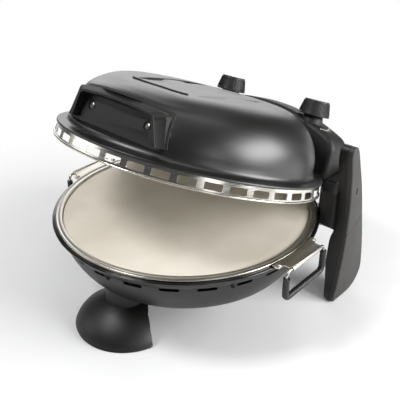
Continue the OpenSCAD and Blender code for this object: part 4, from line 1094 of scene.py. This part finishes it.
# ---------------------------------------------------------------- knobs and their scale
knob_outside = [(14.0, 0.0), (20.0, 0.0), (20.5, 0.4), (20.4, 1.6), (19.9, 2.1), (19.6, 2.6)]
knob_outside += [(19.5 - 3.4 * t, 2.6 + 15.4 * t) for t in (0.1, 0.3, 0.5, 0.7, 0.9)]
knob_outside += [(16.2, 18.2), (16.0, 18.9), (15.5, 19.4), (14.9, 19.5), (14.5, 19.2), (14.45, 18.7)]
knob_outside += [(0, 18.7), (0, 4.2), (14.0, 4.2)]
for side, dial in ((-1, "thermostat"), (1, "timer")):
    body = lathe("knob_body", knob_outside, None, 192)
    rib = slab("rib", eased([(18.9, 2.6), (20.05, 2.8), (16.75, 17.6), (15.6, 17.6)], 0.5, 1),
               [(-0.42, 0), (-0.2, -0.12), (0.2, -0.12), (0.42, 0)], "xzy", None)
    ribs = repeated(rib, 56, 0.0, finishes["knob_plastic"])
    knob = joined(dial + "_knob_ribbed", [body, ribs])
    placed(knob, lambda p, axis=at_knob(side, KNOB_FOOT): on_lid(axis(p)))
    dress(knob, dial + "_knob")
    cap = lathe("cap", [(0, 18.7), (14.4, 18.7), (14.4, 19.35), (14.1, 19.62), (13.4, 19.68), (12.9, 19.5),
                        (8, 19.55), (0, 19.6)], None, 96)
    carve(cap, box_cutter((-0.7, -13.2, 19.2), (0.7, -6.4, 21)))
    placed(cap, lambda p, axis=at_knob(side, KNOB_FOOT): on_lid(axis(p)))
    cap.name = dial + "_cap_disc"
    dress(cap, dial + "_cap")


def housing_top(x, y):
    """The height of the housing's top at a point."""
    z = HOUSING_TOP - HOUSING_R + math.sqrt(HOUSING_R ** 2 - x * x)
    if y > 160:
        z -= 20 - math.sqrt(max(0.0, 400 - (y - 160) ** 2))
    return z


def printed(name, spots):
    """A thin raised strip of ink between pairs of points (x, y), one pair after the other."""
    loops = [[(x, y, housing_top(x, y) + lift) for (x, y), lift in
              ((near, 0.02), (far, 0.02), (far, 0.16), (near, 0.16))] for near, far in spots]
    return lofted(name, loops, on_lid)


marks = []
for side in (-1, 1):
    def spot(r, a, axis=at_knob(side)):
        return tuple(axis((r * math.cos(a), r * math.sin(a), 0)))[:2]
    marks.append(printed("arc", [(spot(23.6, math.radians(a)), spot(24.6, math.radians(a)))
                                 for a in range(-28, 42, 3)]))
    for a in range(-28, 42, 12):
        t, half = math.radians(a), 0.016
        marks.append(printed("tick", [(spot(r, t - half), spot(r, t + half))
                                      for r in (24.6, 25.6, 26.6, 27.4)]))
scale_marks = joined("dial_scale", marks)
scale_marks.data.materials.clear()
scale_marks.data.materials.append(ink)
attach(scale_marks, "lid")

# ---------------------------------------------------------------- small pieces that keep their solids' shapes
for node in ("foot_pad", "arm_pads", "housing_bottom", "hinge_lug_right", "hinge_lug_left", "cord_gland",
             "terminal_block", "hinge_washers", "handle_nuts", "control_nuts"):
    softened(node, 0.25, 35, 2)

# ---------------------------------------------------------------- floor, light and camera
def looked_at(tree):
    """1 for what the camera sees straight or through glass, 0 for what lights the object."""
    path = add(tree, "ShaderNodeLightPath")
    either = {0: path.outputs["Is Camera Ray"], 1: path.outputs["Is Transmission Ray"]}
    return add(tree, "ShaderNodeMath", either, operation="MAXIMUM").outputs[0]


floor_mesh = bpy.data.meshes.new("floor")
floor_mesh.from_pydata([(-6, -6, 0), (6, -6, 0), (6, 6, 0), (-6, 6, 0)], [], [(0, 1, 2, 3)])
floor = object_from("floor", floor_mesh)
# matt paper: plain and nearly white; what the camera sees of it is lifted to white away from the object
white, floor_tree, floor_shader, floor_where = finish_of("white_backdrop_paper", "#f4f4f4", 0.8)
grain = add(floor_tree, "ShaderNodeTexNoise", {"Vector": floor_where, "Scale": 60.0, "Detail": 2.0})
relief(floor_tree, floor_shader, grain.outputs["Fac"], 0.02, 0.1)
seen_directly = looked_at(floor_tree)
away = add(floor_tree, "ShaderNodeVectorMath", {0: floor_where}, operation="LENGTH")
far_off = add(floor_tree, "ShaderNodeMapRange",
              {"Value": away.outputs["Value"], "From Min": 0.27, "From Max": 0.62},
              interpolation_type="SMOOTHSTEP")
glow = add(floor_tree, "ShaderNodeEmission", {"Color": linear("#ffffff"), "Strength": 0.01})
lifted = add(floor_tree, "ShaderNodeAddShader", {0: floor_shader.outputs[0], 1: glow.outputs[0]})
plain_white = add(floor_tree, "ShaderNodeEmission", {"Color": linear("#ffffff"), "Strength": 1.0})
seen_floor = add(floor_tree, "ShaderNodeMixShader", {"Fac": far_off.outputs["Result"], 1: lifted.outputs[0],
                                                   2: plain_white.outputs[0]})
paper = add(floor_tree, "ShaderNodeMixShader", {"Fac": seen_directly, 1: floor_shader.outputs[0],
                                               2: seen_floor.outputs[0]})
floor_tree.links.new(paper.outputs[0], floor_tree.nodes["Material Output"].inputs["Surface"])
floor_mesh.materials.append(white)

world = bpy.data.worlds.new("studio")
bpy.context.scene.world = world
world.use_nodes = True
tree = world.node_tree
tree.nodes.clear()
plain = add(tree, "ShaderNodeBackground", {"Color": linear("#ffffff"), "Strength": 1.0})
dim = add(tree, "ShaderNodeBackground", {"Color": linear("#eef1f4"), "Strength": 0.1})
mix = add(tree, "ShaderNodeMixShader", {"Fac": looked_at(tree), 1: dim.outputs[0], 2: plain.outputs[0]})
add(tree, "ShaderNodeOutputWorld", {"Surface": mix.outputs[0]})


def softbox(name, spot, aim, size, power):
    """A white rectangular lamp at a spot in metres, turned to what it aims at."""
    light = bpy.data.lights.new(name, "AREA")
    light.shape, light.size, light.size_y = "RECTANGLE", size[0], size[1]
    light.energy = power
    lamp = bpy.data.objects.new(name, light)
    bpy.context.scene.collection.objects.link(lamp)
    lamp.location = spot
    lamp.rotation_euler = (Vector(aim) - Vector(spot)).to_track_quat("-Z", "Y").to_euler()


softbox("overhead", (0.1, 0.3, 1.7), (0, 0, 0.12), (1.2, 0.9), 4)
softbox("high_left", (-0.45, -0.8, 1.55), (0, 0, 0.1), (0.45, 0.45), 15)
softbox("behind_left", (-1.65, 1.75, 0.76), (0, 0, 0.14), (2.4, 1.4), 23)
softbox("from_right", (1.39, 0.6, 0.72), (0, 0, 0.14), (1.2, 0.72), 35)
softbox("front_right", (1.36, -0.62, 0.72), (0, 0, 0.2), (0.36, 0.36), 1.8)
softbox("from_left", (-1.3, -1.1, 0.62), (0, 0, 0.12), (0.9, 0.6), 3.5)

eye = bpy.data.cameras.new("camera")
eye.sensor_width, eye.lens = 36.0, 57.23
camera = bpy.data.objects.new("camera", eye)
bpy.context.scene.collection.objects.link(camera)
camera.location = (0.4930, -0.5157, 0.5168)
camera.rotation_euler = (math.radians(60.92), 0.0, math.radians(42.96))
bpy.context.scene.camera = camera
bpy.context.scene.view_settings.view_transform = "Standard"
